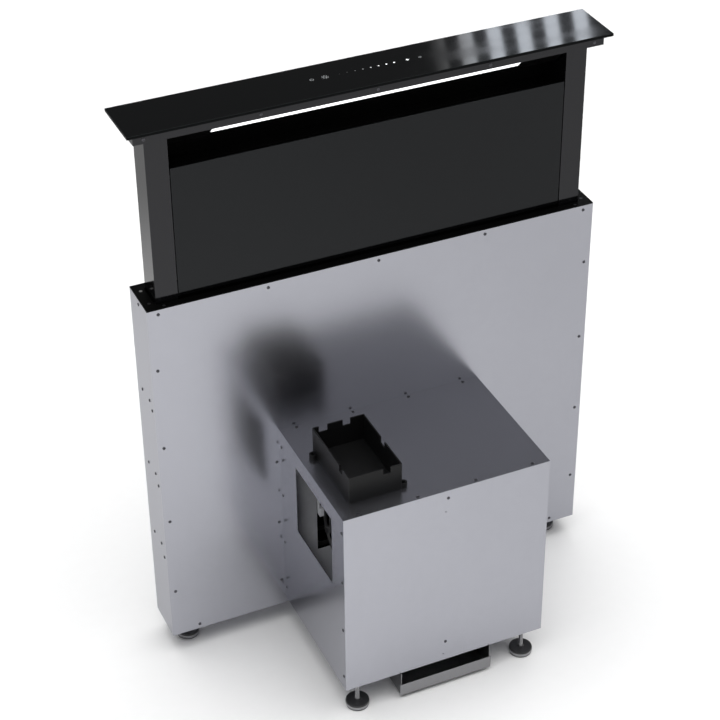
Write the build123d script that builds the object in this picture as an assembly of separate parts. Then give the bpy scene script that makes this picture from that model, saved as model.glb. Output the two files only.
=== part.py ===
from build123d import *
import os
from math import atan2, cos, degrees, hypot, radians, sin, sqrt

# Telescopic downdraft vent. Millimetres. X runs to the right along the casing, Y to the back, Z up.
# While modelling, y = 0 is the front face of the casing and z = 0 is the floor. save() shifts every
# piece in Y, so that the origin is on the floor under the middle of the whole vent.

# ---- casing -------------------------------------------------------------------------------------
CASING_WIDTH = 855.0
CASING_DEPTH = 88.0
CASING_HEIGHT = 728.0
FLOOR_GAP = 43.0            # floor to the underside of the casing
SHEET = 1.2                 # all folded steel sheet
GUIDE_PLATE = 2.0           # thickness of the black frame round the rim
GUIDE_GAP = 2.5             # riser to the edge of the hole in that frame
GUIDE_CORNER = 6.0          # corner radius of that hole
SKIRT_HEIGHT = 17.0         # turned-down edge of the guide frame
BOTTOM_FLANGE = 17.0        # turned-up edge of the casing bottom
ANGLE_LEG = 16.0            # corner angles
ANGLE_END_GAP = 2.0         # corner angle to the skirt above and the flange below

# ---- screws -------------------------------------------------------------------------------------
SCREW_R = 1.9
SCREW_HEAD_R = 3.0
SCREW_HEAD_H = 1.2
SCREW_LENGTH = 6.5
HOLE_R = 2.0
TOP_ROW_DROP = 11.0         # rim to the top row of screws
TOP_ROW_PITCH = 208.0
EDGE_INSET = 11.5           # side edge to the outer columns and the ends of the top row
COLUMN_FIRST = 106.0        # casing underside to the lowest screw of an outer column
COLUMN_PITCH = 166.0
COLUMN_COUNT = 4
BOTTOM_ROW_INSET = 54.0     # side edge to the two screws of the bottom row
BOTTOM_ROW_RISE = 10.0
SIDE_SCREW_BACK = 14.0      # front face to the screws in the casing sides
SIDE_FIRST = 182.0          # casing underside to the lowest of them
RAIL_SCREW_FIRST = 207.0    # casing underside to the lowest screw of a guide rail
RAIL_SCREW_PITCH = 161.0
RAIL_SCREW_COUNT = 3
FRAME_SCREW_INSET = 12.5    # side edge to the sunk screws in the guide frame
FRAME_SCREW_PITCH = 43.0
FRAME_FRONT_SCREW_X = 33.5  # side edge to the sunk screws in its front strip
FRAME_FRONT_SCREW_Y = 7.0
SUNK_HEAD_H = 1.1

# ---- motor box on the front of the casing -------------------------------------------------------
BOX_WIDTH = 398.0
BOX_DEPTH = 286.0
BOX_HEIGHT = 394.0
BOX_RISE = 17.0             # casing underside to the underside of the box
BOX_RETURN = 18.0           # turned edges of its front cover and its back
AIR_OPENING_WIDTH = 260.0   # from the casing into the box
AIR_OPENING_HEIGHT = 240.0
AIR_OPENING_RISE = 90.0     # underside of the box to the opening
BOX_SIDE_SCREW_INSET = 9.0  # front and back edge to the side screws
BOX_SIDE_SCREW_RISE = 28.0
BOX_SIDE_SCREW_PITCH = 110.8
BOX_SIDE_SCREW_COUNT = 4
BOX_TOP_SCREW_INSET = 6.5
BOX_TOP_SCREW_PITCH = 111.5
BOX_TOP_SCREW_COUNT = 4
COVER_SCREW_RISE = 43.6     # underside of the box to the lower screw in the middle of the cover
COVER_SCREW_DROP = 16.4     # top of the box to the upper one
PILOT_HOLE_R = 1.3
PILOT_HOLE_DROP = 29.0      # cover screw down to the small hole below it
PILOT_HOLE_SIDE = 4.3
BRACKET_LEG = 15.0          # angles inside the casing that carry the box
BRACKET_SCREW_OUT = 6.4     # side of the box to their screws
BRACKET_SCREW_RISE = 42.0
BRACKET_SCREW_PITCH = 140.6
BRACKET_SCREW_COUNT = 3
BRACKET_END = 17.0          # bracket beyond its end screws

# ---- side outlet window in the left side of the box ---------------------------------------------
WINDOW_FRONT = 234.0        # casing front forward to the front edge of the window
WINDOW_LENGTH = 159.0
WINDOW_RISE = 214.0         # underside of the box to the window
WINDOW_HEIGHT = 146.0
WINDOW_HOLE_R = 1.6
WINDOW_HOLE_FRONT = 247.0   # casing front forward to the front pair columns
WINDOW_HOLE_SPAN = 196.0
WINDOW_HOLE_RISES = (217.0, 241.0, 320.0, 342.0)
WINDOW_EDGE_HOLE_FRONT = 198.0
WINDOW_EDGE_HOLE_SPAN = 100.0
WINDOW_EDGE_HOLE_RISES = (190.6, 366.0)

# ---- open tray on top of the box ----------------------------------------------------------------
TRAY_WIDTH = 100.0
TRAY_LENGTH = 160.0
TRAY_HEIGHT = 55.0
TRAY_WALL = 2.5
TRAY_FROM_SIDE = 28.2       # left side of the box to the tray
TRAY_FROM_FRONT = 37.7
TRAY_NOTCH_DEPTH = 12.5
TRAY_BACK_NOTCHES = ((12.0, 29.0), (58.0, 73.0))    # from the left side of the tray
TRAY_FRONT_NOTCH = (64.0, 78.0)
TRAY_LEFT_NOTCH = (29.0, 42.0)                      # from the front of the tray
TRAY_RIGHT_NOTCH = (68.0, 86.0)
TRAY_LUG_R = 7.0
TRAY_LUG_HEIGHT = 9.0
TRAY_CORNER = 2.0

# ---- outlet duct under the box ------------------------------------------------------------------
DUCT_WIDTH = 181.0
DUCT_FLOOR_GAP = 8.5        # floor to the underside of the duct
DUCT_LENGTH = 179.0
LIP_WIDTH = 185.0
LIP_HEIGHT = 25.5
LIP_STEP = 3.0              # front cover forward to the back of the lip
DAMPER_LENGTH = 43.0
DAMPER_SHEET = 0.8
DAMPER_PIN_R = 1.5
DAMPER_PIN_OFFSET = 3.0     # middle of the outlet to each pin
DAMPER_SEAT_GAP = 0.3
DAMPER_END_GAP = 1.2
PIN_CLEARANCE = 0.08

# ---- levelling feet -----------------------------------------------------------------------------
FOOT_R = 22.0
FOOT_THICKNESS = 12.0
FOOT_EDGE = 2.0
STUD_R = 4.0
STUD_ABOVE_PLATE = 18.0
NUT_ACROSS_FLATS = 13.0
NUT_HEIGHT = 6.5
NUT_ROOM_R = 12.0           # cut in the cover's turned edge round a nut
STUD_CLEARANCE = 0.1
CASING_FOOT_INSET = 43.5    # side edge of the casing to its foot
BOX_FOOT_INSET = 30.6       # side of the box to its foot
BOX_FOOT_FROM_FRONT = 19.6
FOOT_TRAVEL = 12.0

# ---- riser --------------------------------------------------------------------------------------
SIDE_ROOM = 22.5            # side of the casing to the post
RISER_SETBACK = 16.5        # casing front to the post, and the same at the back
POST_WIDTH = 40.0
POST_WALL = 1.5
RISER_TAIL = 105.0          # how far the raised riser still reaches below the rim
RAISED_GAP = 314.0          # rim to the underside of the header when raised
LOWERED_GAP = 1.0
LIFT_TRAVEL = RAISED_GAP - LOWERED_GAP
HEADER_HEIGHT = 18.0
HEADER_SCREW_PITCH = 208.5
HEADER_SCREW_RISE = 7.5
HEADER_END_SCREW_INSET = 18.5
CAP_OVERHANG_SIDE = 12.5
CAP_OVERHANG_FRONT = 11.0
CAP_THICKNESS = 5.5
CAP_EDGE = 0.8
SLOT_HEIGHT = 64.5          # inlet slot between the front panel and the header

# ---- front panel of the riser -------------------------------------------------------------------
PANEL_GLASS = 4.0
PANEL_SIDE_GAP = 1.5
PANEL_FOOT_GAP = 5.0        # rim to the bottom edge of the glass
PANEL_BACKING_DEPTH = 6.0
PANEL_BACKING_INSET = 3.5
PIVOT_R = 2.5
PIVOT_RISE = 6.5            # bottom edge of the glass to the hinge line
PIVOT_BACK = 7.0            # face of the glass to the hinge line
PIVOT_REACH = 8.0           # pin beyond the end of the backing frame
PANEL_OPEN_ANGLE = 75.0

# ---- filters ------------------------------------------------------------------------------------
FILTER_THICKNESS = 9.0
FILTER_HEIGHT = 216.0
FILTER_BORDER = 12.0
FILTER_RECESS = 3.0
FILTER_BACK = 51.0          # casing front to the back of the filters
FILTER_CLEARANCE = 0.5
FILTER_REST = 0.3
FILTER_LIFT = 6.0
FILTER_LIP = 4.8
LEDGE_RISE = 15.0           # rim to the ledge that the filters stand on
LEDGE_FRONT = 30.0
CHANNEL_DROP = 16.0
MULLION = 10.0
FILTER_GRIP = 24.0
FILTER_GRIP_DEPTH = 5.0

# ---- light and touch board ----------------------------------------------------------------------
CARRIER_FRONT = 13.0        # casing front to the sharp front edge of the light carrier
CARRIER_SIZE = 40.0
LED_LENGTH = 565.0
LED_WIDTH = 22.0
LED_THICKNESS = 4.0
LED_FROM_EDGE = 26.5        # front edge of the carrier to the middle of the strip, along the slope
LED_PROUD = 0.6
LED_CLEARANCE = 0.2
BOARD_LENGTH = 250.0
BOARD_WIDTH = 40.0
BOARD_THICKNESS = 1.6
BOARD_DROP = 2.9            # glass to the underside of the board
SENSOR_COUNT = 10
SENSOR_PITCH = 22.0
SENSOR_R = 4.0

# ---- lift ---------------------------------------------------------------------------------------
LEAD_R = 7.0
LEAD = 20.0                 # travel for one turn
NUT_BLOCK_HEIGHT = 24.0
LEAD_OVERRUN = 14.0         # screw above the nut when raised
RUNNING = 0.08              # radial clearance of running fits
LIFT_DECK_RISE = 85.0       # casing underside to the bearing brackets
DECK_PLATE = 4.0
DECK_LENGTH = 50.0
DECK_FLANGE = 20.0
JOURNAL = 8.0               # screw below the bearing bracket
GEARBOX = 56.0
GEARBOX_DEPTH = 54.0
GEARBOX_HEIGHT = 28.0
MOTOR_CAN_R = 23.0
MOTOR_CAN_HEIGHT = 34.0
PULLEY_R = 20.0
PULLEY_FLANGE_R = 23.5
PULLEY_FLANGE = 1.5
PULLEY_HEIGHT = 14.0
PULLEY_GAP = 2.0            # bearing bracket to the pulley
BELT_GAP = 0.3
BELT_THICKNESS = 2.0
BELT_WIDTH = 10.0
RAIL_WIDTH = 45.0
RAIL_BASE = 1.5
RAIL_CHANNEL = 27.0         # inside width of its channel
RAIL_DEPTH = 15.0
RAIL_TOP_GAP = 22.0
RAIL_TAIL = 20.0            # rail below the lowest place of the shoes
SHOE_CLEARANCE = 0.4
SHOE_HEIGHT = 30.0
SHOE_FIRST = 6.0            # foot of the riser to the lower shoe
SHOE_PITCH = 44.0
APRON_DEPTH = 26.0          # folded beam at the foot of the riser
APRON_FLANGE = 24.0
APRON_BACK = 24.0           # casing front to the apron
APRON_TOP_GAP = 0.5

# ---- blower -------------------------------------------------------------------------------------
WHEEL_FRONT = 140.0         # casing front forward to the axis of the wheel
WHEEL_RISE = 240.0          # underside of the box to the axis
WHEEL_R = 68.0
BLADE_DEPTH = 14.0
BLADE_SHEET = 1.2
BLADE_COUNT = 24
BLADE_PITCH_ANGLE = 35.0
WHEEL_HALF_WIDTH = 78.0
WHEEL_RIM = 2.0
WHEEL_DISC = 1.5
HUB_R = 14.0
HUB_HALF = 15.0
SHAFT_R = 4.0
SCROLL_HALF_WIDTH = 88.0
SCROLL_FRONT_R = 112.0      # inside radius where the scroll turns down into its outlet
TONGUE_DROP = 84.0
OUTLET_DEPTH = 90.0         # inside of the outlet, front to back
SCROLL_STEPS = 14
INLET_R = 58.0
SCROLL_FLANGE = 10.0
BLOWER_MOTOR_R = 42.0
BLOWER_MOTOR_INNER = 96.0   # middle of the wheel out to the near end of the motor
BLOWER_MOTOR_OUTER = 148.0
SHAFT_IN_MOTOR = 38.0
RING_OUTER = 60.0
RING_INNER = 54.0
RING_PLATE = 4.0
RING_AT = 146.0             # middle of the wheel out to the motor ring
LEG_WIDTH = 10.0
LEG_THICKNESS = 4.0
ARM_COUNT = 3
GUARD_PLATE = 2.0
GUARD_BAR = 3.0
GUARD_R = 64.0
GUARD_RINGS = (20.0, 36.0)
HANGER_WIDTH = 8.0
HANGER_SHEET = 1.5
HANGER_AT = 158.0
HANGER_FOOT = 16.0
HANGER_CLEAR = 6.0          # edge of the inlet guard to the right hanger

# ---- electrics in the box -----------------------------------------------------------------------
CASE_LENGTH = 90.0
CASE_WIDTH = 78.0
CASE_HEIGHT = 46.0
CASE_FROM_SIDE = 20.0
CASE_FROM_BACK = 30.0
GLAND_R = 10.0
GLAND_FLATS = 24.0
GLAND_LENGTH = 20.0
GLAND_BORE = 4.5
GLAND_FROM_BACK = 40.0
GLAND_DROP = 34.0

# ---- planes worked out from the sizes -----------------------------------------------------------
HALF = CASING_WIDTH / 2
INNER_X = HALF - SHEET
INNER_BACK = CASING_DEPTH - SHEET
MIDDLE_Y = CASING_DEPTH / 2
RIM = FLOOR_GAP + CASING_HEIGHT
WALL_TOP = RIM - GUIDE_PLATE

BOX_HALF = BOX_WIDTH / 2
BOX_FLOOR = FLOOR_GAP + BOX_RISE
BOX_TOP = BOX_FLOOR + BOX_HEIGHT
BOX_FRONT = -BOX_DEPTH
BOX_INNER_X = BOX_HALF - SHEET
BOX_INNER_FRONT = BOX_FRONT + SHEET

POST_OUTER = HALF - SIDE_ROOM
POST_INNER = POST_OUTER - POST_WIDTH
RISER_FRONT = RISER_SETBACK
RISER_BACK = CASING_DEPTH - RISER_SETBACK
RISER_FOOT = RIM - RISER_TAIL
HEADER_FLOOR = RIM + RAISED_GAP
HEADER_TOP = HEADER_FLOOR + HEADER_HEIGHT
CAP_TOP = HEADER_TOP + CAP_THICKNESS
PANEL_TOP = HEADER_FLOOR - SLOT_HEIGHT
PANEL_FOOT = RIM + PANEL_FOOT_GAP
PANEL_HALF = POST_INNER - PANEL_SIDE_GAP
PIVOT_Y = RISER_FRONT + PIVOT_BACK
PIVOT_Z = PANEL_FOOT + PIVOT_RISE

LEAD_X = (POST_INNER + POST_OUTER) / 2
DECK = FLOOR_GAP + LIFT_DECK_RISE
PULLEY_FOOT = DECK + DECK_PLATE + PULLEY_GAP

WHEEL_Y = -WHEEL_FRONT
WHEEL_Z = BOX_FLOOR + WHEEL_RISE
OUTLET_FRONT = WHEEL_Y - SCROLL_FRONT_R
OUTLET_BACK = OUTLET_FRONT + OUTLET_DEPTH
OUTLET_MIDDLE = (OUTLET_FRONT + OUTLET_BACK) / 2
OUTLET_HALF = SCROLL_HALF_WIDTH - SHEET
DUCT_HALF = DUCT_WIDTH / 2
DAMPER_PIN_Y = (OUTLET_MIDDLE - DAMPER_PIN_OFFSET, OUTLET_MIDDLE + DAMPER_PIN_OFFSET)
DAMPER_PIN_Z = BOX_FLOOR - DAMPER_SEAT_GAP - DAMPER_SHEET - DAMPER_PIN_R + 0.1

GLAND_Y = -GLAND_FROM_BACK
GLAND_Z = BOX_TOP - GLAND_DROP

LIP_FRONT = BOX_FRONT - LIP_STEP - SHEET
CAP_BACK = CASING_DEPTH + CAP_OVERHANG_FRONT
DATUM_SHIFT = -(LIP_FRONT + CAP_BACK) / 2

os.makedirs("parts", exist_ok=True)


# ---- helpers ------------------------------------------------------------------------------------
def block(x0, x1, y0, y1, z0, z1):
    """The box between six planes."""
    return Pos((x0 + x1) / 2, (y0 + y1) / 2, (z0 + z1) / 2) * Box(x1 - x0, y1 - y0, z1 - z0)


def rod_x(radius, x0, x1, y, z):
    """A round bar along X."""
    return Pos((x0 + x1) / 2, y, z) * Rot(0, 90, 0) * Cylinder(radius, x1 - x0)


def rod_y(radius, y0, y1, x, z):
    """A round bar along Y."""
    return Pos(x, (y0 + y1) / 2, z) * Rot(90, 0, 0) * Cylinder(radius, y1 - y0)


def rod_z(radius, z0, z1, x, y):
    """An upright round bar."""
    return Pos(x, y, (z0 + z1) / 2) * Cylinder(radius, z1 - z0)


def both_sides(shape):
    """A piece and its mirror image across the middle plane x = 0."""
    return [shape, mirror(shape, about=Plane.YZ)]


def save(name, *pieces):
    """Writes one node, shifted so that the origin is under the middle of the vent."""
    solids = [solid for piece in pieces for solid in piece.solids()]
    moved = [Pos(0, DATUM_SHIFT, 0) * solid for solid in solids]
    export_step(Compound(children=moved) if len(moved) > 1 else moved[0], f"parts/{name}.step")


def steps(first, pitch, count):
    """Evenly spaced places."""
    return [first + pitch * index for index in range(count)]


def row(pitch, count):
    """Evenly spaced places centred on zero."""
    return steps(-pitch * (count - 1) / 2, pitch, count)


# ---- where the screws are -----------------------------------------------------------------------
TOP_ROW_Z = RIM - TOP_ROW_DROP
TOP_ROW_X = [-(HALF - EDGE_INSET - 8.5), -TOP_ROW_PITCH, 0.0, TOP_ROW_PITCH, HALF - EDGE_INSET - 8.5]
COLUMN_X = HALF - EDGE_INSET
COLUMN_Z = steps(FLOOR_GAP + COLUMN_FIRST, COLUMN_PITCH, COLUMN_COUNT)
SIDE_Z = steps(FLOOR_GAP + SIDE_FIRST, COLUMN_PITCH, COLUMN_COUNT - 1)
RAIL_Z = steps(FLOOR_GAP + RAIL_SCREW_FIRST, RAIL_SCREW_PITCH, RAIL_SCREW_COUNT)
RAIL_SCREW_OFFSET = (RAIL_CHANNEL / 2 + RAIL_BASE + RAIL_WIDTH / 2) / 2
RAIL_Y = [MIDDLE_Y - RAIL_SCREW_OFFSET, MIDDLE_Y + RAIL_SCREW_OFFSET]
BRACKET_X = BOX_HALF + BRACKET_SCREW_OUT
BRACKET_Z = steps(BOX_FLOOR + BRACKET_SCREW_RISE, BRACKET_SCREW_PITCH, BRACKET_SCREW_COUNT)

face_places = [(x, TOP_ROW_Z) for x in TOP_ROW_X]
face_places += [(side * COLUMN_X, z) for side in (-1, 1) for z in COLUMN_Z]
face_places += [(side * (HALF - BOTTOM_ROW_INSET), FLOOR_GAP + BOTTOM_ROW_RISE) for side in (-1, 1)]
bracket_places = [(side * BRACKET_X, z) for side in (-1, 1) for z in BRACKET_Z]
side_places = [(SIDE_SCREW_BACK, z) for z in SIDE_Z]
side_places += [(y, z) for y in RAIL_Y for z in RAIL_Z]
side_places += [(MIDDLE_Y, TOP_ROW_Z)]
plate_places = [
    (side * (HALF - FRAME_SCREW_INSET), MIDDLE_Y + end * FRAME_SCREW_PITCH / 2)
    for side in (-1, 1)
    for end in (-1, 1)
]
plate_places += [(side * (HALF - FRAME_FRONT_SCREW_X), FRAME_FRONT_SCREW_Y) for side in (-1, 1)]

front_holes = [rod_y(HOLE_R, -1, BRACKET_LEG + 2, x, z) for x, z in face_places + bracket_places]
back_holes = [rod_y(HOLE_R, CASING_DEPTH - 10, CASING_DEPTH + 1, x, z) for x, z in face_places]
left_holes = [rod_x(HOLE_R, -HALF - 1, -HALF + 10, y, z) for y, z in side_places]
right_holes = [rod_x(HOLE_R, HALF - 10, HALF + 1, y, z) for y, z in side_places]
casing_holes = front_holes + back_holes + left_holes + right_holes

BOX_SIDE_Z = steps(BOX_FLOOR + BOX_SIDE_SCREW_RISE, BOX_SIDE_SCREW_PITCH, BOX_SIDE_SCREW_COUNT)
BOX_SIDE_Y = [BOX_FRONT + BOX_SIDE_SCREW_INSET, -BOX_SIDE_SCREW_INSET]
BOX_TOP_Y = [BOX_FRONT + BOX_TOP_SCREW_INSET, -BOX_TOP_SCREW_INSET]
box_side_places = [(y, z) for y in BOX_SIDE_Y for z in BOX_SIDE_Z]
box_top_places = [(x, y) for y in BOX_TOP_Y for x in row(BOX_TOP_SCREW_PITCH, BOX_TOP_SCREW_COUNT)]
cover_places = [(0.0, BOX_FLOOR + COVER_SCREW_RISE), (0.0, BOX_TOP - COVER_SCREW_DROP)]

box_holes = [rod_x(HOLE_R, -BOX_HALF - 1, -BOX_HALF + 8, y, z) for y, z in box_side_places]
box_holes += [rod_x(HOLE_R, BOX_HALF - 8, BOX_HALF + 1, y, z) for y, z in box_side_places]
box_holes += [rod_z(HOLE_R, BOX_TOP - 8, BOX_TOP + 1, x, y) for x, y in box_top_places]
box_holes += [rod_y(HOLE_R, BOX_FRONT - 1, BOX_FRONT + 8, x, z) for x, z in cover_places]


def screw():
    """A pan-head screw along Z, with the seat of its head at the origin and its shank below."""
    head = Pos(0, 0, SCREW_HEAD_H / 2) * Cylinder(SCREW_HEAD_R, SCREW_HEAD_H)
    head = fillet(head.edges().group_by(Axis.Z)[-1], SCREW_HEAD_H * 0.6)
    shank = Pos(0, 0, -SCREW_LENGTH / 2) * Cylinder(SCREW_R, SCREW_LENGTH)
    return head + shank


def sunk_screw():
    """A screw whose head lies flush in its seat at the origin."""
    head = Pos(0, 0, -SUNK_HEAD_H / 2) * Cylinder(SCREW_HEAD_R, SUNK_HEAD_H)
    shank = Pos(0, 0, -SCREW_LENGTH / 2) * Cylinder(SCREW_R, SCREW_LENGTH)
    return head + shank


# ---- casing -------------------------------------------------------------------------------------
def casing_face(y0, y1, holes):
    """A flat casing panel across the whole width."""
    return block(-HALF, HALF, y0, y1, FLOOR_GAP, WALL_TOP) - holes


def air_opening(y0, y1):
    """The space of the opening from the casing into the motor box."""
    foot = BOX_FLOOR + AIR_OPENING_RISE
    half = AIR_OPENING_WIDTH / 2
    return block(-half, half, y0, y1, foot, foot + AIR_OPENING_HEIGHT)


def casing_side(side, holes):
    """A flat casing side between the front and the back panel."""
    panel = block(INNER_X, HALF, SHEET, INNER_BACK, FLOOR_GAP, WALL_TOP)
    return (panel if side > 0 else mirror(panel, about=Plane.YZ)) - holes


def casing_bottom():
    """The bottom sheet, its edges turned up inside the panels."""
    top = FLOOR_GAP + BOTTOM_FLANGE
    half = INNER_X - SHEET
    sheet = block(-INNER_X, INNER_X, SHEET, INNER_BACK, FLOOR_GAP, top)
    sheet -= block(-half, half, 2 * SHEET, INNER_BACK - SHEET, FLOOR_GAP + SHEET, top + 1)
    stud = rod_z(STUD_R + STUD_CLEARANCE, FLOOR_GAP - 1, FLOOR_GAP + 9, CASING_FOOT_X, MIDDLE_Y)
    return sheet - both_sides(stud) - casing_holes


def corner_angle():
    """The front right corner angle, which takes the front and the side screws."""
    foot = FLOOR_GAP + BOTTOM_FLANGE + ANGLE_END_GAP
    top = WALL_TOP - SKIRT_HEIGHT - ANGLE_END_GAP
    legs = block(INNER_X - ANGLE_LEG, INNER_X, SHEET, 2 * SHEET, foot, top)
    return legs + block(INNER_X - SHEET, INNER_X, SHEET, SHEET + ANGLE_LEG, foot, top)


def corner_angles():
    """Four angles that join the casing panels."""
    front = both_sides(corner_angle())
    middle = Plane.XZ.offset(-MIDDLE_Y)
    return [angle - casing_holes for angle in front + [mirror(angle, about=middle) for angle in front]]


def riser_hole(z0, z1):
    """The space of the hole that the riser passes through."""
    width = 2 * (POST_OUTER + GUIDE_GAP)
    depth = RISER_BACK - RISER_FRONT + 2 * GUIDE_GAP
    hole = Pos(0, MIDDLE_Y, z0) * extrude(RectangleRounded(width, depth, GUIDE_CORNER), z1 - z0)
    return hole


def top_guide_frame():
    """The black frame on the rim, with its edges turned down inside the panels."""
    plate = block(-HALF, HALF, 0, CASING_DEPTH, WALL_TOP, RIM)
    foot = WALL_TOP - SKIRT_HEIGHT
    skirt = block(-INNER_X, INNER_X, SHEET, INNER_BACK, foot, WALL_TOP)
    half = INNER_X - SHEET
    skirt -= block(-half, half, 2 * SHEET, INNER_BACK - SHEET, foot - 1, WALL_TOP)
    seats = [rod_z(HOLE_R, WALL_TOP - 1, RIM + 1, x, y) for x, y in plate_places]
    seats += [rod_z(SCREW_HEAD_R, RIM - SUNK_HEAD_H, RIM + 1, x, y) for x, y in plate_places]
    return plate + skirt - riser_hole(WALL_TOP - 1, RIM + 1) - casing_holes - seats


def casing_screws():
    """Every screw in the casing."""
    screws = [Pos(x, 0, z) * Rot(90, 0, 0) * screw() for x, z in face_places + bracket_places]
    screws += [Pos(x, CASING_DEPTH, z) * Rot(-90, 0, 0) * screw() for x, z in face_places]
    screws += [Pos(-HALF, y, z) * Rot(0, -90, 0) * screw() for y, z in side_places]
    screws += [Pos(HALF, y, z) * Rot(0, 90, 0) * screw() for y, z in side_places]
    screws += [Pos(x, y, RIM) * sunk_screw() for x, y in plate_places]
    return screws


def box_brackets():
    """Two angles behind the casing front that carry the motor box."""
    foot = BRACKET_Z[0] - BRACKET_END
    top = BRACKET_Z[-1] + BRACKET_END
    edge = BOX_HALF + BRACKET_LEG
    legs = block(BOX_HALF, edge, SHEET, 2 * SHEET, foot, top)
    legs += block(edge - SHEET, edge, SHEET, SHEET + BRACKET_LEG, foot, top)
    return [angle - front_holes for angle in both_sides(legs)]


# ---- guide rails and shoes ----------------------------------------------------------------------
LOWEST_SHOE = RISER_FOOT + SHOE_FIRST - LIFT_TRAVEL
RAIL_FOOT = LOWEST_SHOE - RAIL_TAIL
RAIL_TOP = WALL_TOP - RAIL_TOP_GAP


def guide_rail(side, holes):
    """A channel on a casing side that the glide shoes run in."""
    half = RAIL_WIDTH / 2
    rail = block(INNER_X - RAIL_BASE, INNER_X, MIDDLE_Y - half, MIDDLE_Y + half, RAIL_FOOT, RAIL_TOP)
    for edge in (-1, 1):
        y0, y1 = sorted(MIDDLE_Y + edge * (RAIL_CHANNEL / 2 + rib) for rib in (0, RAIL_BASE))
        rail += block(INNER_X - RAIL_DEPTH, INNER_X, y0, y1, RAIL_FOOT, RAIL_TOP)
    return (rail if side > 0 else mirror(rail, about=Plane.YZ)) - holes


def glide_shoes():
    """Four shoes, two on the foot of each post."""
    half = RAIL_CHANNEL / 2 - SHOE_CLEARANCE
    tip = INNER_X - RAIL_BASE - SHOE_CLEARANCE
    shoes = []
    for foot in steps(RISER_FOOT + SHOE_FIRST, SHOE_PITCH, 2):
        shoe = block(POST_OUTER, tip, MIDDLE_Y - half, MIDDLE_Y + half, foot, foot + SHOE_HEIGHT)
        shoes += both_sides(shoe)
    return shoes


# ---- motor box ----------------------------------------------------------------------------------
def box_side():
    """The right side of the box."""
    return block(BOX_INNER_X, BOX_HALF, BOX_INNER_FRONT, 0, BOX_FLOOR, BOX_TOP) - box_holes


def box_left_side():
    """The left side, with the outlet window and the holes of its duct flange."""
    window = block(
        -BOX_HALF - 1,
        -BOX_INNER_X + 1,
        -WINDOW_FRONT,
        -WINDOW_FRONT + WINDOW_LENGTH,
        BOX_FLOOR + WINDOW_RISE,
        BOX_FLOOR + WINDOW_RISE + WINDOW_HEIGHT,
    )
    column_y = steps(-WINDOW_HOLE_FRONT, WINDOW_HOLE_SPAN, 2)
    edge_y = steps(-WINDOW_EDGE_HOLE_FRONT, WINDOW_EDGE_HOLE_SPAN, 2)
    places = [(y, BOX_FLOOR + rise) for y in column_y for rise in WINDOW_HOLE_RISES]
    places += [(y, BOX_FLOOR + rise) for y in edge_y for rise in WINDOW_EDGE_HOLE_RISES]
    holes = [rod_x(WINDOW_HOLE_R, -BOX_HALF - 1, -BOX_INNER_X + 1, y, z) for y, z in places]
    return mirror(box_side(), about=Plane.YZ) - window - holes


def box_right_side():
    """The right side, with the hole of the cable gland."""
    return box_side() - rod_x(GLAND_R, BOX_INNER_X - 1, BOX_HALF + 1, GLAND_Y, GLAND_Z)


def box_sheet(z0, z1):
    """A flat sheet between the sides of the box."""
    return block(-BOX_INNER_X, BOX_INNER_X, BOX_INNER_FRONT, 0, z0, z1)


def box_top():
    """The top of the box."""
    lugs = [rod_z(HOLE_R, BOX_TOP - 8, BOX_TOP + 1, x, y) for x, y in LUG_PLACES]
    return box_sheet(BOX_TOP - SHEET, BOX_TOP) - box_holes - lugs


def box_bottom():
    """The bottom of the box, with the outlet and the foot holes."""
    under, over = BOX_FLOOR - 1, BOX_FLOOR + SHEET + 1
    outlet = block(-OUTLET_HALF, OUTLET_HALF, OUTLET_FRONT, OUTLET_BACK, under, over)
    studs = both_sides(rod_z(STUD_R + STUD_CLEARANCE, under, over, BOX_FOOT_X, BOX_FOOT_Y))
    return box_sheet(BOX_FLOOR, BOX_FLOOR + SHEET) - outlet - studs


def pan(y_plate, y_edge):
    """An upright sheet inside the box whose four edges are turned towards y_edge."""
    low, high = min(y_plate, y_edge), max(y_plate, y_edge)
    floor, top = BOX_FLOOR + SHEET, BOX_TOP - SHEET
    shell = block(-BOX_INNER_X, BOX_INNER_X, low, high, floor, top)
    half = BOX_INNER_X - SHEET
    cavity_low = low + SHEET if y_edge > y_plate else low - 1
    cavity_high = high + 1 if y_edge > y_plate else high - SHEET
    return shell - block(-half, half, cavity_low, cavity_high, floor + SHEET, top - SHEET)


def box_front_cover():
    """The front cover: a plate over the ends of the sheets and a turned edge inside them."""
    plate = block(-BOX_HALF, BOX_HALF, BOX_FRONT, BOX_INNER_FRONT, BOX_FLOOR, BOX_TOP)
    edge = pan(BOX_FRONT, BOX_INNER_FRONT + BOX_RETURN)
    pilots = [
        rod_y(PILOT_HOLE_R, BOX_FRONT - 1, BOX_FRONT + 3, x - PILOT_HOLE_SIDE, z - PILOT_HOLE_DROP)
        for x, z in cover_places
    ]
    nuts = both_sides(rod_z(NUT_ROOM_R, BOX_FLOOR, BOX_FLOOR + 3 * SHEET, BOX_FOOT_X, BOX_FOOT_Y))
    return plate + (edge - nuts) - box_holes - pilots


def box_back():
    """The back of the box, with the air opening."""
    return pan(0, -BOX_RETURN) - air_opening(-BOX_RETURN, 1) - box_holes


def box_screws():
    """The screws of the box and of the tray."""
    screws = [Pos(-BOX_HALF, y, z) * Rot(0, -90, 0) * screw() for y, z in box_side_places]
    screws += [Pos(BOX_HALF, y, z) * Rot(0, 90, 0) * screw() for y, z in box_side_places]
    screws += [Pos(x, y, BOX_TOP) * screw() for x, y in box_top_places]
    screws += [Pos(x, BOX_FRONT, z) * Rot(90, 0, 0) * screw() for x, z in cover_places]
    screws += [Pos(x, y, BOX_TOP + TRAY_LUG_FOOT) * screw() for x, y in LUG_PLACES]
    return screws


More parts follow.
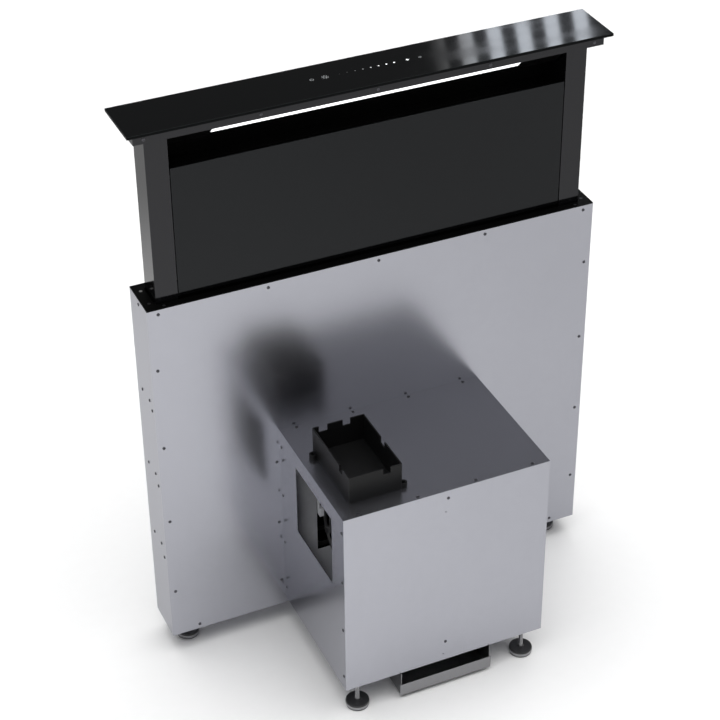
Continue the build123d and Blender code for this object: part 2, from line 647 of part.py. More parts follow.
# ---- open tray ----------------------------------------------------------------------------------
TRAY_LEFT = -BOX_HALF + TRAY_FROM_SIDE
TRAY_RIGHT = TRAY_LEFT + TRAY_WIDTH
TRAY_FRONT = BOX_FRONT + TRAY_FROM_FRONT
TRAY_BACK = TRAY_FRONT + TRAY_LENGTH
TRAY_TOP = BOX_TOP + TRAY_HEIGHT
TRAY_LUG_FOOT = 3.0         # thickness of the lug under its screw
LUG_SHIFT = TRAY_LUG_R - 2.0
LUG_PLACES = [
    (TRAY_RIGHT + LUG_SHIFT, TRAY_FRONT + TRAY_LUG_R),
    (TRAY_LEFT - LUG_SHIFT, TRAY_BACK - 2 * TRAY_LUG_R),
]


def control_tray():
    """The black tray, open at the top, with cable notches in its walls and two screw lugs."""
    tray = block(TRAY_LEFT, TRAY_RIGHT, TRAY_FRONT, TRAY_BACK, BOX_TOP, TRAY_TOP)
    tray = fillet(tray.edges().filter_by(Axis.Z), TRAY_CORNER)
    for x, y in LUG_PLACES:
        lug = rod_z(TRAY_LUG_R, BOX_TOP, BOX_TOP + TRAY_LUG_HEIGHT, x, y)
        tray += lug - rod_z(SCREW_HEAD_R + 1, BOX_TOP + TRAY_LUG_FOOT, TRAY_TOP, x, y)
        tray -= rod_z(HOLE_R, BOX_TOP - 1, TRAY_TOP, x, y)
        tray -= rod_z(SCREW_HEAD_R + 1, BOX_TOP + TRAY_LUG_FOOT, BOX_TOP + TRAY_LUG_HEIGHT + 1, x, y)
    inside = block(
        TRAY_LEFT + TRAY_WALL,
        TRAY_RIGHT - TRAY_WALL,
        TRAY_FRONT + TRAY_WALL,
        TRAY_BACK - TRAY_WALL,
        BOX_TOP + TRAY_WALL,
        TRAY_TOP + 1,
    )
    tray -= inside
    sill, over, cut = TRAY_TOP - TRAY_NOTCH_DEPTH, TRAY_TOP + 1, 2 * TRAY_WALL
    for low, high in TRAY_BACK_NOTCHES:
        tray -= block(TRAY_LEFT + low, TRAY_LEFT + high, TRAY_BACK - cut, TRAY_BACK + 1, sill, over)
    low, high = TRAY_FRONT_NOTCH
    tray -= block(TRAY_LEFT + low, TRAY_LEFT + high, TRAY_FRONT - 1, TRAY_FRONT + cut, sill, over)
    low, high = TRAY_LEFT_NOTCH
    tray -= block(TRAY_LEFT - 1, TRAY_LEFT + cut, TRAY_FRONT + low, TRAY_FRONT + high, sill, over)
    low, high = TRAY_RIGHT_NOTCH
    tray -= block(TRAY_RIGHT - cut, TRAY_RIGHT + 1, TRAY_FRONT + low, TRAY_FRONT + high, sill, over)
    return tray


# ---- outlet -------------------------------------------------------------------------------------
def outlet_duct():
    """The duct under the box, open at the front above a deep lip."""
    front = LIP_FRONT + SHEET
    shell = block(-DUCT_HALF, DUCT_HALF, front, front + DUCT_LENGTH, DUCT_FLOOR_GAP, BOX_FLOOR)
    shell -= block(
        -DUCT_HALF + SHEET,
        DUCT_HALF - SHEET,
        front - 1,
        front + DUCT_LENGTH - SHEET,
        DUCT_FLOOR_GAP + SHEET,
        BOX_FLOOR + 1,
    )
    lip_top = DUCT_FLOOR_GAP + LIP_HEIGHT
    shell += block(-LIP_WIDTH / 2, LIP_WIDTH / 2, LIP_FRONT, front, DUCT_FLOOR_GAP, lip_top)
    pin_r, end = DAMPER_PIN_R + PIN_CLEARANCE, DUCT_HALF + 1
    return shell - [rod_x(pin_r, -end, end, y, DAMPER_PIN_Z) for y in DAMPER_PIN_Y]


def damper(side):
    """A half of the non-return damper: side -1 is the front one and 1 the back one."""
    pin_y = DAMPER_PIN_Y[0] if side < 0 else DAMPER_PIN_Y[1]
    half = DUCT_HALF - SHEET - DAMPER_END_GAP
    top = BOX_FLOOR - DAMPER_SEAT_GAP
    edge = pin_y + side * DAMPER_LENGTH
    flap = block(-half, half, min(pin_y, edge), max(pin_y, edge), top - DAMPER_SHEET, top)
    return flap + rod_x(DAMPER_PIN_R, -DUCT_HALF, DUCT_HALF, pin_y, DAMPER_PIN_Z)


# ---- feet ---------------------------------------------------------------------------------------
CASING_FOOT_X = HALF - CASING_FOOT_INSET
BOX_FOOT_X = BOX_HALF - BOX_FOOT_INSET
BOX_FOOT_Y = BOX_FRONT + BOX_FOOT_FROM_FRONT


def foot(x, y, plate):
    """A levelling foot whose stud runs through the sheet at height plate."""
    disc = Pos(x, y, FOOT_THICKNESS / 2) * Cylinder(FOOT_R, FOOT_THICKNESS)
    disc = chamfer(disc.edges().group_by(Axis.Z)[-1], FOOT_EDGE)
    return disc + rod_z(STUD_R, FOOT_THICKNESS - 1, plate + STUD_ABOVE_PLATE, x, y)


def foot_nuts():
    """The four nuts on the inside of the sheets."""
    nut = extrude(RegularPolygon(NUT_ACROSS_FLATS / 2, 6, major_radius=False), NUT_HEIGHT)
    nut -= Cylinder(STUD_R + STUD_CLEARANCE, 4 * NUT_HEIGHT)
    casing_nut = Pos(CASING_FOOT_X, MIDDLE_Y, FLOOR_GAP + SHEET) * nut
    box_nut = Pos(BOX_FOOT_X, BOX_FOOT_Y, BOX_FLOOR + SHEET) * nut
    return both_sides(casing_nut) + both_sides(box_nut)


# ---- riser --------------------------------------------------------------------------------------
def post(side):
    """A hollow post, with the bore of the panel hinge in its inner wall."""
    tube = block(POST_INNER, POST_OUTER, RISER_FRONT, RISER_BACK, RISER_FOOT, HEADER_FLOOR)
    tube -= block(
        POST_INNER + POST_WALL,
        POST_OUTER - POST_WALL,
        RISER_FRONT + POST_WALL,
        RISER_BACK - POST_WALL,
        RISER_FOOT - 1,
        HEADER_FLOOR + 1,
    )
    tube -= rod_x(PIVOT_R + RUNNING, POST_INNER - 1, POST_INNER + POST_WALL + 1, PIVOT_Y, PIVOT_Z)
    return tube if side > 0 else mirror(tube, about=Plane.YZ)


def riser_back_panel():
    """The sheet between the posts at the back."""
    return block(-POST_INNER, POST_INNER, RISER_BACK - SHEET, RISER_BACK, RISER_FOOT, HEADER_FLOOR)


HEADER_END_SCREW_X = HALF - HEADER_END_SCREW_INSET
HEADER_SCREW_X = [-HEADER_END_SCREW_X] + row(HEADER_SCREW_PITCH, 3) + [HEADER_END_SCREW_X]
HEADER_SCREW_Z = HEADER_FLOOR + HEADER_SCREW_RISE


def riser_header():
    """The pan on top of the posts that the glass cap closes."""
    header = block(-HALF, HALF, 0, CASING_DEPTH, HEADER_FLOOR, HEADER_TOP)
    header -= block(-INNER_X, INNER_X, SHEET, INNER_BACK, HEADER_FLOOR + SHEET, HEADER_TOP + 1)
    return header - [rod_y(HOLE_R, -1, SHEET + 1, x, HEADER_SCREW_Z) for x in HEADER_SCREW_X]


def header_screws():
    """The screws in the front of the header."""
    return [Pos(x, 0, HEADER_SCREW_Z) * Rot(90, 0, 0) * screw() for x in HEADER_SCREW_X]


def cap_glass():
    """The glass cap."""
    half = HALF + CAP_OVERHANG_SIDE
    cap = block(-half, half, -CAP_OVERHANG_FRONT, CAP_BACK, HEADER_TOP, CAP_TOP)
    cap = fillet(cap.edges().filter_by(Axis.Z), 2 * CAP_EDGE)
    return chamfer(cap.edges().group_by(Axis.Z)[-1], CAP_EDGE)


def carrier_triangle(inset):
    """The cross-section of the light carrier, drawn in by a wall."""
    corner = inset * (1 + sqrt(2))
    front = CARRIER_FRONT + corner
    back = CARRIER_FRONT + CARRIER_SIZE - inset
    top = HEADER_FLOOR - inset
    foot = HEADER_FLOOR - CARRIER_SIZE + corner
    return make_face(Polyline((0, front, top), (0, back, foot), (0, back, top), close=True))


LED_Y = CARRIER_FRONT + LED_FROM_EDGE / sqrt(2)
LED_Z = HEADER_FLOOR - LED_FROM_EDGE / sqrt(2)


def led_block(length, width, proud):
    """A bar lying in the slope of the carrier, its face proud of the slope."""
    bar = Pos(0, 0, (LED_THICKNESS - 2 * proud) / 2) * Box(length, width, LED_THICKNESS)
    return Pos(0, LED_Y, LED_Z) * Rot(-45, 0, 0) * bar


def light_carrier():
    """The sloping housing under the header that holds the light strip."""
    half = POST_INNER - LED_CLEARANCE
    outer = Pos(-half, 0, 0) * extrude(carrier_triangle(0), 2 * half, dir=(1, 0, 0))
    inner = Pos(-half - 1, 0, 0) * extrude(carrier_triangle(SHEET), 2 * half + 2, dir=(1, 0, 0))
    slot = led_block(LED_LENGTH + 2 * LED_CLEARANCE, LED_WIDTH + 2 * LED_CLEARANCE, LED_THICKNESS / 2)
    return outer - inner - slot


def led_strip():
    """The light strip."""
    return led_block(LED_LENGTH, LED_WIDTH, LED_PROUD)


def touch_board():
    """The circuit board under the glass, with a sensor spring for each touch mark."""
    foot = HEADER_TOP - BOARD_DROP
    y0, y1 = MIDDLE_Y - BOARD_WIDTH / 2, MIDDLE_Y + BOARD_WIDTH / 2
    board = block(-BOARD_LENGTH / 2, BOARD_LENGTH / 2, y0, y1, foot, foot + BOARD_THICKNESS)
    for x in row(SENSOR_PITCH, SENSOR_COUNT):
        board += rod_z(SENSOR_R, foot, HEADER_TOP, x, MIDDLE_Y)
    return board


def apron_beam():
    """The folded beam between the feet of the posts."""
    top = RIM + APRON_TOP_GAP
    back = APRON_BACK + APRON_DEPTH
    beam = block(-POST_INNER, POST_INNER, APRON_BACK, APRON_BACK + SHEET, RISER_FOOT, top)
    beam += block(-POST_INNER, POST_INNER, APRON_BACK, back, RISER_FOOT, RISER_FOOT + SHEET)
    return beam + block(-POST_INNER, POST_INNER, back - SHEET, back, RISER_FOOT, RISER_FOOT + APRON_FLANGE)


def lift_nuts():
    """The nut blocks in the feet of the posts."""
    nut = block(
        POST_INNER + POST_WALL,
        POST_OUTER - POST_WALL,
        RISER_FRONT + POST_WALL,
        RISER_BACK - POST_WALL,
        RISER_FOOT,
        RISER_FOOT + NUT_BLOCK_HEIGHT,
    )
    top = RISER_FOOT + NUT_BLOCK_HEIGHT
    return both_sides(nut - rod_z(LEAD_R + RUNNING, RISER_FOOT - 1, top + 1, LEAD_X, MIDDLE_Y))


# ---- front panel --------------------------------------------------------------------------------
def front_panel():
    """The glass of the front panel."""
    return block(-PANEL_HALF, PANEL_HALF, RISER_FRONT, RISER_FRONT + PANEL_GLASS, PANEL_FOOT, PANEL_TOP)


def panel_backing():
    """The folded steel tray bonded behind the glass, with the two hinge pins."""
    half = PANEL_HALF - PANEL_BACKING_INSET
    front = RISER_FRONT + PANEL_GLASS
    back = front + PANEL_BACKING_DEPTH
    foot = PANEL_FOOT + PANEL_BACKING_INSET / 2
    top = PANEL_TOP - PANEL_BACKING_INSET
    tray = block(-half, half, front, back, foot, top)
    tray -= block(-half + SHEET, half - SHEET, front + SHEET, back + 1, foot + SHEET, top - SHEET)
    pin = rod_x(PIVOT_R, half - 2 * SHEET, half + PIVOT_REACH, PIVOT_Y, PIVOT_Z)
    return tray + both_sides(pin)


# ---- filters ------------------------------------------------------------------------------------
LEDGE = RIM + LEDGE_RISE
FILTER_FRONT = FILTER_BACK - FILTER_THICKNESS
FILTER_FOOT = LEDGE + SHEET + FILTER_REST
FILTER_TOP = FILTER_FOOT + FILTER_HEIGHT
CHANNEL_TOP = FILTER_TOP + FILTER_LIFT + 2 * FILTER_CLEARANCE


def filter_frame():
    """The sheet frame that holds the filters and parts the front chamber from the back one."""
    front = FILTER_FRONT - FILTER_CLEARANCE
    back = FILTER_BACK + FILTER_CLEARANCE
    half = POST_INNER
    frame = block(-half, half, LEDGE_FRONT, back + SHEET, LEDGE, LEDGE + SHEET)
    frame += block(-half, half, front - SHEET, front, LEDGE, LEDGE + SHEET + FILTER_LIP)
    frame += block(-half, half, front - SHEET, RISER_BACK - SHEET, CHANNEL_TOP, CHANNEL_TOP + SHEET)
    frame += block(-half, half, front - SHEET, front, CHANNEL_TOP - CHANNEL_DROP, CHANNEL_TOP)
    for left in (-half, -MULLION / 2, half - MULLION):
        frame += block(left, left + MULLION, back, back + SHEET, LEDGE, CHANNEL_TOP + SHEET)
    return frame


def grease_filter(side):
    """A filter cassette: a border, a core set back from it on both faces and a grip."""
    inner = FILTER_CLEARANCE
    outer = POST_INNER - FILTER_CLEARANCE
    cassette = block(inner, outer, FILTER_FRONT, FILTER_BACK, FILTER_FOOT, FILTER_TOP)
    for y0, y1 in (
        (FILTER_FRONT - 1, FILTER_FRONT + FILTER_RECESS),
        (FILTER_BACK - FILTER_RECESS, FILTER_BACK + 1),
    ):
        x0, x1 = inner + FILTER_BORDER, outer - FILTER_BORDER
        cassette -= block(x0, x1, y0, y1, FILTER_FOOT + FILTER_BORDER, FILTER_TOP - FILTER_BORDER)
    x0, x1 = (inner + outer) / 2 - FILTER_GRIP, (inner + outer) / 2 + FILTER_GRIP
    y0, y1 = FILTER_FRONT - FILTER_GRIP_DEPTH, FILTER_FRONT + FILTER_RECESS
    grip_foot = FILTER_TOP - CHANNEL_DROP - 2 * FILTER_BORDER
    cassette += block(x0, x1, y0, y1, grip_foot, grip_foot + SHEET)
    return cassette if side > 0 else mirror(cassette, about=Plane.YZ)


# ---- lift drive ---------------------------------------------------------------------------------
def bearing_brackets():
    """The two brackets that carry the screws, fixed to the casing back."""
    x0, x1 = LEAD_X - DECK_LENGTH / 2, LEAD_X + DECK_LENGTH / 2
    bracket = block(x0, x1, 2 * SHEET, INNER_BACK, DECK, DECK + DECK_PLATE)
    bracket += block(x0, x1, INNER_BACK - SHEET, INNER_BACK, DECK, DECK + DECK_FLANGE)
    bracket -= rod_z(LEAD_R + RUNNING, DECK - 1, DECK + DECK_PLATE + 1, LEAD_X, MIDDLE_Y)
    return both_sides(bracket)


def lift_motor():
    """The gearmotor under the left bracket."""
    can_top = DECK - GEARBOX_HEIGHT
    gearbox = Pos(-LEAD_X, MIDDLE_Y, (can_top + DECK) / 2) * Box(GEARBOX, GEARBOX_DEPTH, GEARBOX_HEIGHT)
    gearbox = fillet(gearbox.edges().filter_by(Axis.Z), 4.0)
    can = rod_z(MOTOR_CAN_R, can_top - MOTOR_CAN_HEIGHT, can_top, -LEAD_X, MIDDLE_Y)
    return gearbox + can - rod_z(LEAD_R + RUNNING, DECK - 2 * JOURNAL, DECK + 1, -LEAD_X, MIDDLE_Y)


def lead_screw(side):
    """A lead screw, drawn as its outer cylinder, with a chamfered tip."""
    top = RISER_FOOT + NUT_BLOCK_HEIGHT + LEAD_OVERRUN
    bar = rod_z(LEAD_R, DECK - JOURNAL, top, LEAD_X, MIDDLE_Y)
    bar = chamfer(bar.edges().group_by(Axis.Z)[-1], 1.5)
    return bar if side > 0 else mirror(bar, about=Plane.YZ)


def pulley(side):
    """A flanged pulley pressed on a lead screw."""
    top = PULLEY_FOOT + PULLEY_HEIGHT
    wheel = rod_z(PULLEY_R, PULLEY_FOOT, top, LEAD_X, MIDDLE_Y)
    wheel += rod_z(PULLEY_FLANGE_R, PULLEY_FOOT, PULLEY_FOOT + PULLEY_FLANGE, LEAD_X, MIDDLE_Y)
    wheel += rod_z(PULLEY_FLANGE_R, top - PULLEY_FLANGE, top, LEAD_X, MIDDLE_Y)
    wheel -= rod_z(LEAD_R, PULLEY_FOOT - 1, top + 1, LEAD_X, MIDDLE_Y)
    return wheel if side > 0 else mirror(wheel, about=Plane.YZ)


def sync_belt():
    """The belt round both pulleys."""
    inner = PULLEY_R + BELT_GAP
    outer = inner + BELT_THICKNESS
    foot = PULLEY_FOOT + (PULLEY_HEIGHT - BELT_WIDTH) / 2
    loop = SlotCenterToCenter(2 * LEAD_X, 2 * outer) - SlotCenterToCenter(2 * LEAD_X, 2 * inner)
    return Pos(0, MIDDLE_Y, foot) * extrude(loop, BELT_WIDTH)


# ---- blower -------------------------------------------------------------------------------------
TONGUE_Y = OUTLET_BACK - WHEEL_Y
TONGUE_ANGLE = -degrees(atan2(-TONGUE_Y, TONGUE_DROP))
TONGUE_R = hypot(TONGUE_Y, TONGUE_DROP)


def scroll_face(grow, foot):
    """The scroll's cross-section, its wall moved out by grow, its outlet ending at height foot."""
    points = []
    for step in range(SCROLL_STEPS + 1):
        share = step / SCROLL_STEPS
        angle = radians(TONGUE_ANGLE + share * (270 - TONGUE_ANGLE))
        radius = TONGUE_R + share * (SCROLL_FRONT_R - TONGUE_R) + grow
        points.append((0, WHEEL_Y + radius * sin(angle), WHEEL_Z - radius * cos(angle)))
    spiral = Spline(points)
    start, end = spiral @ 0, spiral @ 1
    back = OUTLET_BACK + grow
    tongue = (0, back, start.Z - grow)
    outline = [start, tongue, (0, back, foot), (0, end.Y, foot), end]
    if grow == 0:
        outline = [start, (0, back, foot), (0, end.Y, foot), end]
    return make_face([spiral, Polyline(*outline)])


def blower_scroll():
    """The sheet housing of the wheel, with an inlet in each side and its outlet down."""
    foot = BOX_FLOOR + SHEET
    half = SCROLL_HALF_WIDTH
    outer = Pos(-half, 0, 0) * extrude(scroll_face(SHEET, foot), 2 * half, dir=(1, 0, 0))
    inner_half = half - SHEET
    inner = Pos(-inner_half, 0, 0) * extrude(scroll_face(0, foot - 1), 2 * inner_half, dir=(1, 0, 0))
    edge = half + SCROLL_FLANGE
    y0, y1 = OUTLET_FRONT - SHEET - SCROLL_FLANGE, OUTLET_BACK + SHEET + SCROLL_FLANGE
    scroll = outer + block(-edge, edge, y0, y1, foot, foot + SHEET) - inner
    return scroll - rod_x(INLET_R, -half - 1, half + 1, WHEEL_Y, WHEEL_Z)


def impeller():
    """The double wheel: a disc with a hub, blades to both sides and an end ring on each."""
    wheel = rod_x(WHEEL_R, -WHEEL_DISC / 2, WHEEL_DISC / 2, 0, 0)
    wheel += rod_x(HUB_R, -HUB_HALF, HUB_HALF, 0, 0)
    middle = WHEEL_R - BLADE_DEPTH / 2 - 1
    blade = Rot(BLADE_PITCH_ANGLE, 0, 0) * Box(2 * WHEEL_HALF_WIDTH, BLADE_DEPTH, BLADE_SHEET)
    blade = Pos(0, middle, 0) * blade
    blades = [Rot(index * 360 / BLADE_COUNT, 0, 0) * blade for index in range(BLADE_COUNT)]
    rings = []
    for end in (-1, 1):
        x0, x1 = sorted((end * WHEEL_HALF_WIDTH, end * (WHEEL_HALF_WIDTH - WHEEL_RIM)))
        rings.append(rod_x(WHEEL_R, x0, x1, 0, 0) - rod_x(WHEEL_R - BLADE_DEPTH, x0 - 1, x1 + 1, 0, 0))
    wheel = wheel.fuse(*blades, *rings)
    return Pos(0, WHEEL_Y, WHEEL_Z) * (wheel - rod_x(SHAFT_R, -HUB_HALF - 1, HUB_HALF + 1, 0, 0))


def blower_shaft():
    """The shaft that carries the wheel out of the motor."""
    return rod_x(SHAFT_R, -BLOWER_MOTOR_INNER - SHAFT_IN_MOTOR + 2, HUB_HALF + 5, WHEEL_Y, WHEEL_Z)


def blower_motor():
    """The motor, outside the left inlet."""
    motor = rod_x(BLOWER_MOTOR_R, -BLOWER_MOTOR_OUTER, -BLOWER_MOTOR_INNER, WHEEL_Y, WHEEL_Z)
    motor = fillet(motor.edges().group_by(Axis.X)[0], 5.0)
    bore_end = -BLOWER_MOTOR_INNER - SHAFT_IN_MOTOR
    return motor - rod_x(SHAFT_R + RUNNING, bore_end, -BLOWER_MOTOR_INNER + 1, WHEEL_Y, WHEEL_Z)


def motor_bracket():
    """A ring and three arms to the motor, on three legs from the side of the scroll."""
    x0, x1 = -RING_AT - RING_PLATE, -RING_AT
    leg_foot, leg_end = RING_OUTER - 1, -SCROLL_HALF_WIDTH
    bracket = rod_x(RING_OUTER, x0, x1, 0, 0) - rod_x(RING_INNER, x0 - 1, x1 + 1, 0, 0)
    arm = block(x0, x1, BLOWER_MOTOR_R - 2, leg_foot, -LEG_WIDTH / 2, LEG_WIDTH / 2)
    leg = block(x0, leg_end, leg_foot, leg_foot + LEG_THICKNESS, -LEG_WIDTH / 2, LEG_WIDTH / 2)
    pad = block(leg_end - GUARD_PLATE, leg_end, leg_foot, leg_foot + LEG_WIDTH, -LEG_WIDTH, LEG_WIDTH)
    for index in range(ARM_COUNT):
        bracket += Rot(90 + index * 360 / ARM_COUNT, 0, 0) * (arm + leg + pad)
    bracket -= rod_x(BLOWER_MOTOR_R, x0 - 1, -BLOWER_MOTOR_INNER, 0, 0)
    return Pos(0, WHEEL_Y, WHEEL_Z) * bracket


def inlet_guard():
    """The finger guard on the right inlet."""
    x0, x1 = SCROLL_HALF_WIDTH, SCROLL_HALF_WIDTH + GUARD_PLATE
    guard = rod_x(GUARD_R, x0, x1, 0, 0) - rod_x(2 * INLET_R - GUARD_R + 2, x0 - 1, x1 + 1, 0, 0)
    for radius in GUARD_RINGS:
        guard += rod_x(radius + GUARD_BAR, x0, x1, 0, 0) - rod_x(radius, x0 - 1, x1 + 1, 0, 0)
    bar = block(x0, x1, -INLET_R, INLET_R, -GUARD_BAR / 2, GUARD_BAR / 2)
    guard += [Rot(45, 0, 0) * bar, Rot(-45, 0, 0) * bar]
    return Pos(0, WHEEL_Y, WHEEL_Z) * guard


def blower_hangers():
    """Two straps from the top of the box to the motor ring and to the scroll."""
    ceiling = BOX_TOP - SHEET
    lug = ceiling - HANGER_SHEET
    y0, y1 = WHEEL_Y + RING_OUTER, WHEEL_Y + RING_OUTER + HANGER_WIDTH
    ring_face = -RING_AT - RING_PLATE
    left = block(-HANGER_AT, -HANGER_AT + HANGER_SHEET, y0, y1, WHEEL_Z, ceiling)
    left += block(-HANGER_AT, ring_face, y0 - HANGER_WIDTH / 2, y1, WHEEL_Z, WHEEL_Z + HANGER_FOOT)
    left += block(-HANGER_AT - HANGER_FOOT, -HANGER_AT, y0, y1, lug, ceiling)
    x0 = SCROLL_HALF_WIDTH
    y0, y1 = WHEEL_Y - HANGER_WIDTH, WHEEL_Y + HANGER_WIDTH
    right = block(x0, x0 + HANGER_SHEET, y0, y1, WHEEL_Z + GUARD_R + HANGER_CLEAR, ceiling)
    right += block(x0, x0 + HANGER_FOOT, y0, y1, lug, ceiling)
    return [left, right]


# ---- electrics ----------------------------------------------------------------------------------
def electronics_case():
    """The closed case of the control electronics, under the top of the box."""
    ceiling = BOX_TOP - SHEET
    x1, y1 = BOX_INNER_X - CASE_FROM_SIDE, -CASE_FROM_BACK
    case = block(x1 - CASE_WIDTH, x1, y1 - CASE_LENGTH, y1, ceiling - CASE_HEIGHT, ceiling)
    return fillet(case.edges().filter_by(Axis.Z), 3.0)


def cable_gland():
    """The inlet of the mains lead, clamped in the right side of the box."""
    hexagon = Rot(0, 90, 0) * extrude(RegularPolygon(GLAND_FLATS / 2, 6, major_radius=False), GLAND_R)
    x0, x1 = BOX_INNER_X - GLAND_R, BOX_HALF + GLAND_LENGTH
    gland = Pos(BOX_HALF, GLAND_Y, GLAND_Z) * hexagon + rod_x(GLAND_R, x0, x1, GLAND_Y, GLAND_Z)
    return gland - rod_x(GLAND_BORE, x0 - 1, x1 + 1, GLAND_Y, GLAND_Z)


# ---- nodes --------------------------------------------------------------------------------------
save("casing_front_panel", casing_face(0, SHEET, front_holes) - air_opening(-1, 2 * SHEET))
save("casing_back_panel", casing_face(INNER_BACK, CASING_DEPTH, back_holes))
save("casing_left_side", casing_side(-1, left_holes))
save("casing_right_side", casing_side(1, right_holes))
save("casing_bottom", casing_bottom())
save("corner_angles", *corner_angles())
save("top_guide_frame", top_guide_frame())
save("casing_screws", *casing_screws())
save("box_brackets", *box_brackets())
save("left_guide_rail", guide_rail(-1, left_holes))
save("right_guide_rail", guide_rail(1, right_holes))

save("motor_box_left_side", box_left_side())
save("motor_box_right_side", box_right_side())
save("motor_box_top", box_top())
save("motor_box_bottom", box_bottom())
save("motor_box_back", box_back())
save("motor_box_front_cover", box_front_cover())
save("motor_box_screws", *box_screws())
save("control_tray", control_tray())
save("electronics_case", electronics_case())
save("cable_gland", cable_gland())

save("outlet_duct", outlet_duct())
save("front_damper", damper(-1))
save("back_damper", damper(1))

save("blower_scroll", blower_scroll())
save("impeller", impeller())
save("blower_shaft", blower_shaft())
save("blower_motor", blower_motor())
save("motor_bracket", motor_bracket())
save("inlet_guard", inlet_guard())
save("blower_hangers", *blower_hangers())

save("lift_motor", lift_motor())
save("bearing_brackets", *bearing_brackets())
save("left_lead_screw", lead_screw(-1))
save("right_lead_screw", lead_screw(1))
save("left_pulley", pulley(-1))
save("right_pulley", pulley(1))
save("sync_belt", sync_belt())

save("left_post", post(-1))
save("right_post", post(1))
save("riser_back_panel", riser_back_panel())
save("riser_header", riser_header())
save("header_screws", *header_screws())
save("cap_glass", cap_glass())
save("light_carrier", light_carrier())
save("led_strip", led_strip())
save("touch_board", touch_board())
save("apron_beam", apron_beam())
save("lift_nuts", *lift_nuts())
save("glide_shoes", *glide_shoes())
save("filter_frame", filter_frame())
save("left_filter", grease_filter(-1))
save("right_filter", grease_filter(1))
save("front_panel", front_panel())
save("panel_backing", panel_backing())

save("casing_left_foot", foot(-CASING_FOOT_X, MIDDLE_Y, FLOOR_GAP + SHEET))
save("casing_right_foot", foot(CASING_FOOT_X, MIDDLE_Y, FLOOR_GAP + SHEET))
save("box_left_foot", foot(-BOX_FOOT_X, BOX_FOOT_Y, BOX_FLOOR + SHEET))
save("box_right_foot", foot(BOX_FOOT_X, BOX_FOOT_Y, BOX_FLOOR + SHEET))
save("foot_nuts", *foot_nuts())
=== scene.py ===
"""A telescopic downdraft vent, dressed for its photograph.

Every size is in metres, in the frame of the model: x to the right along the casing, y to the back and
z up, with the floor at z = 0. Scales of textures are counts in a metre.
"""

import logging
import math
from dataclasses import dataclass, field
from enum import Enum
from functools import cache
from typing import Sequence

import bmesh
import bpy
from mathutils import Matrix, Vector


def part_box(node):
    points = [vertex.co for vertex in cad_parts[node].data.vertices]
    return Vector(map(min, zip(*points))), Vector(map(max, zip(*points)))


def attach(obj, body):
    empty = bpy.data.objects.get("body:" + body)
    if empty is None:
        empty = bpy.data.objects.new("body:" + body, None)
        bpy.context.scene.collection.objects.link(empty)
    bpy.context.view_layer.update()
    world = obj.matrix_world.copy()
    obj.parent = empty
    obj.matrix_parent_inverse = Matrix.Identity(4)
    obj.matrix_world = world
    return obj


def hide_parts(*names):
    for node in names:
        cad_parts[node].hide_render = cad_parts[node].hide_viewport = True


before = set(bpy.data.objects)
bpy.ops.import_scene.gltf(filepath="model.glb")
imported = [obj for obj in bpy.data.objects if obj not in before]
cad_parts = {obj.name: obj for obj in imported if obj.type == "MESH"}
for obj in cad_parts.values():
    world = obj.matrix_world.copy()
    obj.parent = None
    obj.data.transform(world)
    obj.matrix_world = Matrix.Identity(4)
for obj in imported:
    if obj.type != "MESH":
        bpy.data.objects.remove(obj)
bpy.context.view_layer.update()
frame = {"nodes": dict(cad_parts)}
LOG = logging.getLogger("vent")

Colour = tuple[float, float, float]
Place = tuple[float, float, float]
Corner = Vector | Place
Point = tuple[float, float]
Profile = Sequence[Point]
Piece = bpy.types.Object
Mesh = bpy.types.Mesh
Node = bpy.types.Node
Row = list[bmesh.types.BMVert]

WHITE: Colour = (1.0, 1.0, 1.0)
SIDES = ("left", "right")
# Points closer than MERGE are one point, and slivers thinner than SLIVER are closed.
MERGE = 0.000005
SLIVER = 0.00001
# Edges that turn by more than CREASE degrees are sharp. A rounded edge has BENDS faces across it, and
# FULLNESS says how full it is on a block that is built here.
CREASE = 35.0
BENDS = 2
FULLNESS = 0.6
# The section of a thread, in shares of its pitch and of its depth.
THREAD_STEPS = ((0.0, 0.0), (0.3, 1.0), (0.6, 1.0), (0.85, 0.0))
THREAD_SIDES = 20


# ---- shader maths ----
class Signal:
    """The output of a node, which Python's operators work on."""

    def __init__(self, graph: "Graph", socket: bpy.types.NodeSocket) -> None:
        """Keeps the socket and the graph that it is part of."""
        self.graph = graph
        self.socket = socket

    def __add__(self, other: "Value") -> "Signal":
        """This value plus another."""
        return self.graph.maths("ADD", self, other)

    __radd__ = __add__

    def __sub__(self, other: "Value") -> "Signal":
        """This value less another."""
        return self.graph.maths("SUBTRACT", self, other)

    def __rsub__(self, other: "Value") -> "Signal":
        """Another value less this one."""
        return self.graph.maths("SUBTRACT", other, self)

    def __mul__(self, other: "Value") -> "Signal":
        """This value times another."""
        return self.graph.maths("MULTIPLY", self, other)

    __rmul__ = __mul__

    def __abs__(self) -> "Signal":
        """This value without its sign."""
        return self.graph.maths("ABSOLUTE", self)


Value = Signal | float
Setting = Signal | float | tuple
Settings = dict[str, object]
Sockets = dict[str | int, Setting]


class Axis(Enum):
    """The way that the rolling lines of a sheet run."""

    X = (0.02, 1.0, 1.0)
    Y = (1.0, 0.02, 1.0)
    Z = (1.0, 1.0, 0.02)


class Ray(Enum):
    """The rays that a material or the world tells apart."""

    CAMERA = "Is Camera Ray"
    GLOSSY = "Is Glossy Ray"


@dataclass(frozen=True)
class Ramp:
    """A smooth change from start to end while a value goes from low to high, held beyond both."""

    low: float
    high: float
    start: float = 0.0
    end: float = 1.0


OFF_FLAT = Ramp(0.02, 0.2)


